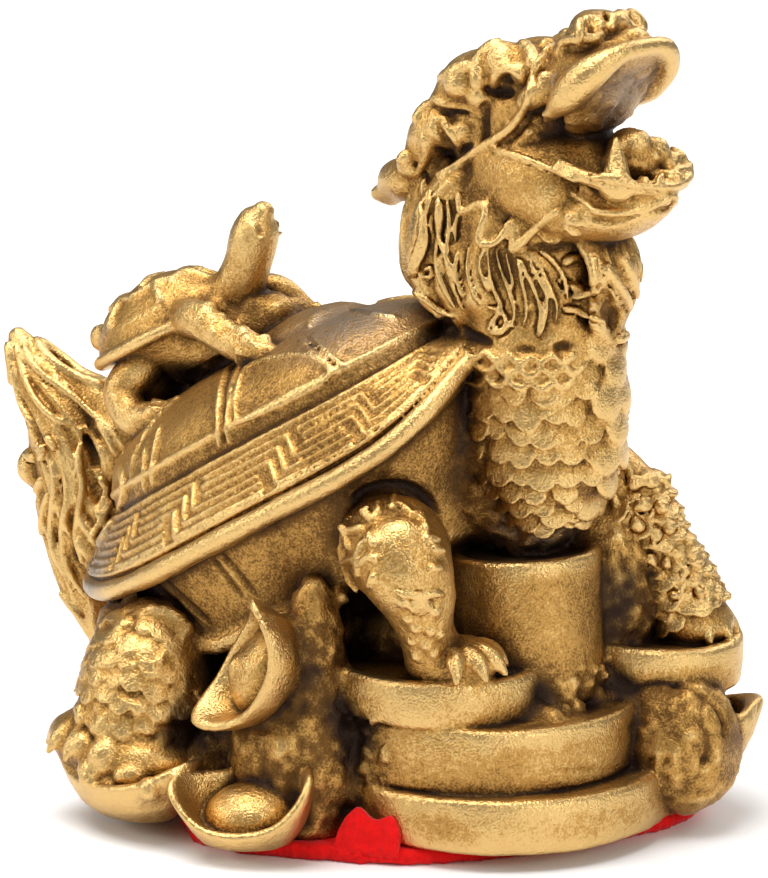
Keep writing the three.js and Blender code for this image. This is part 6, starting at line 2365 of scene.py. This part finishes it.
@dataclass(frozen=True)
class CraftFelt(Finish):
    """Red craft felt: a flat saturated red that fuzz softens at the edges."""

    red: str = "#ee1512"
    fold: str = "#c50f10"
    wool_mm: float = 0.5
    nap_mm: float = 0.2

    def make(self) -> bpy.types.Material:
        """Makes the material."""
        tree, shader, material = self.start()
        place = add_node(tree, "ShaderNodeTexCoord").outputs["Object"]
        wool = add_node(tree, "ShaderNodeTexNoise", {"noise_dimensions": "3D"}, {
            "Vector": place, "Scale": 1 / (self.wool_mm * MM), "Detail": 4.0}).outputs["Fac"]
        dyed = add_node(tree, "ShaderNodeMix", {"data_type": "RGBA"}, {
            "Factor": wool, FIRST_COLOUR: linear(self.fold), SECOND_COLOUR: linear(self.red)})
        nap = add_node(tree, "ShaderNodeBump", None, {
            "Strength": 0.7, "Distance": self.nap_mm * MM, "Height": wool})
        tree.links.new(dyed.outputs[MIXED_COLOUR], shader.inputs["Base Color"])
        tree.links.new(nap.outputs[0], shader.inputs["Normal"])
        for name, value in (("Roughness", 0.95), ("Sheen Weight", 0.08), ("Specular IOR Level", 0.15)):
            shader.inputs[name].default_value = value
        return material


@dataclass(frozen=True)
class PaleFloor(Finish):
    """A plain near-white table."""

    colour: str = "#f4f4f4"

    def make(self) -> bpy.types.Material:
        """Makes the material."""
        _, shader, material = self.start()
        shader.inputs["Base Color"].default_value = linear(self.colour)
        shader.inputs["Roughness"].default_value = 0.9
        return material


@dataclass
class Studio:
    """The floor, the soft lights and the camera."""

    AIM = Vector((-0.004, 0.0, 0.028))

    lens: float = 172.2
    floor_reach: float = 6.0
    room: tuple[float, float] = (0.08, 0.5)

    def __post_init__(self) -> None:
        """Sets up the studio."""
        self.floor()
        self.camera()
        self.lights()

    def floor(self) -> None:
        """Lays the floor under the pad."""
        mesh = bpy.data.meshes.new("floor")
        far = self.floor_reach
        mesh.from_pydata([(-far, -far, 0), (far, -far, 0), (far, far, 0), (-far, far, 0)], [], [(0, 1, 2, 3)])
        mesh.materials.append(PaleFloor("pale_table").make())
        floor = linked("floor", mesh)

    def camera(self) -> None:
        """Places the camera where the photograph was taken from."""
        data = bpy.data.cameras.new("camera")
        data.lens = self.lens
        data.sensor_width = 36.0
        data.clip_start = 0.01
        camera = linked("camera", data)
        camera.location = EYE * MM
        camera.rotation_euler = Vector(TO_EYE).to_track_quat("Z", "Y").to_euler()
        bpy.context.scene.camera = camera

    def lights(self) -> None:
        """Hangs the soft boxes and sets the room's own light."""
        for name, place, size, power in [
            ("overhead", (-0.10, -0.15, 0.90), 0.70, 8.5),
            ("left", (-0.75, -0.60, 0.45), 0.40, 3.2),
            ("right", (0.90, -0.30, 0.40), 0.40, 3.0),
            ("back", (0.10, 0.80, 0.60), 0.60, 3.0),
        ]:
            data = bpy.data.lights.new(name, "AREA")
            data.shape = "DISK"
            data.size = size
            data.energy = power
            light = linked(name, data)
            light.location = place
            light.rotation_euler = (Vector(place) - self.AIM).to_track_quat("Z", "Y").to_euler()
        world = bpy.data.worlds.new("room")
        world.use_nodes = True
        tree = world.node_tree
        height = add_node(tree, "ShaderNodeSeparateXYZ", None, {
            0: add_node(tree, "ShaderNodeTexCoord").outputs["Generated"]}).outputs["Z"]
        glow = add_node(tree, "ShaderNodeMapRange", SMOOTH, spread(height, 0.0, 0.8, *self.room))
        tree.nodes["Background"].inputs["Color"].default_value = (1, 1, 1, 1)
        tree.links.new(glow.outputs[0], tree.nodes["Background"].inputs["Strength"])
        bpy.context.scene.world = world
        bpy.context.scene.view_settings.view_transform = "Standard"


def main() -> None:
    """Builds the scene."""
    logging.basicConfig(level=logging.INFO, format="%(relativeCreated)6d %(message)s")
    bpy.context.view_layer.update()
    Studio()
    Casting(CastBrass("sand_cast_brass").make())
    FeltPad(CraftFelt("red_craft_felt").make())


if __name__ == "__main__":
    main()
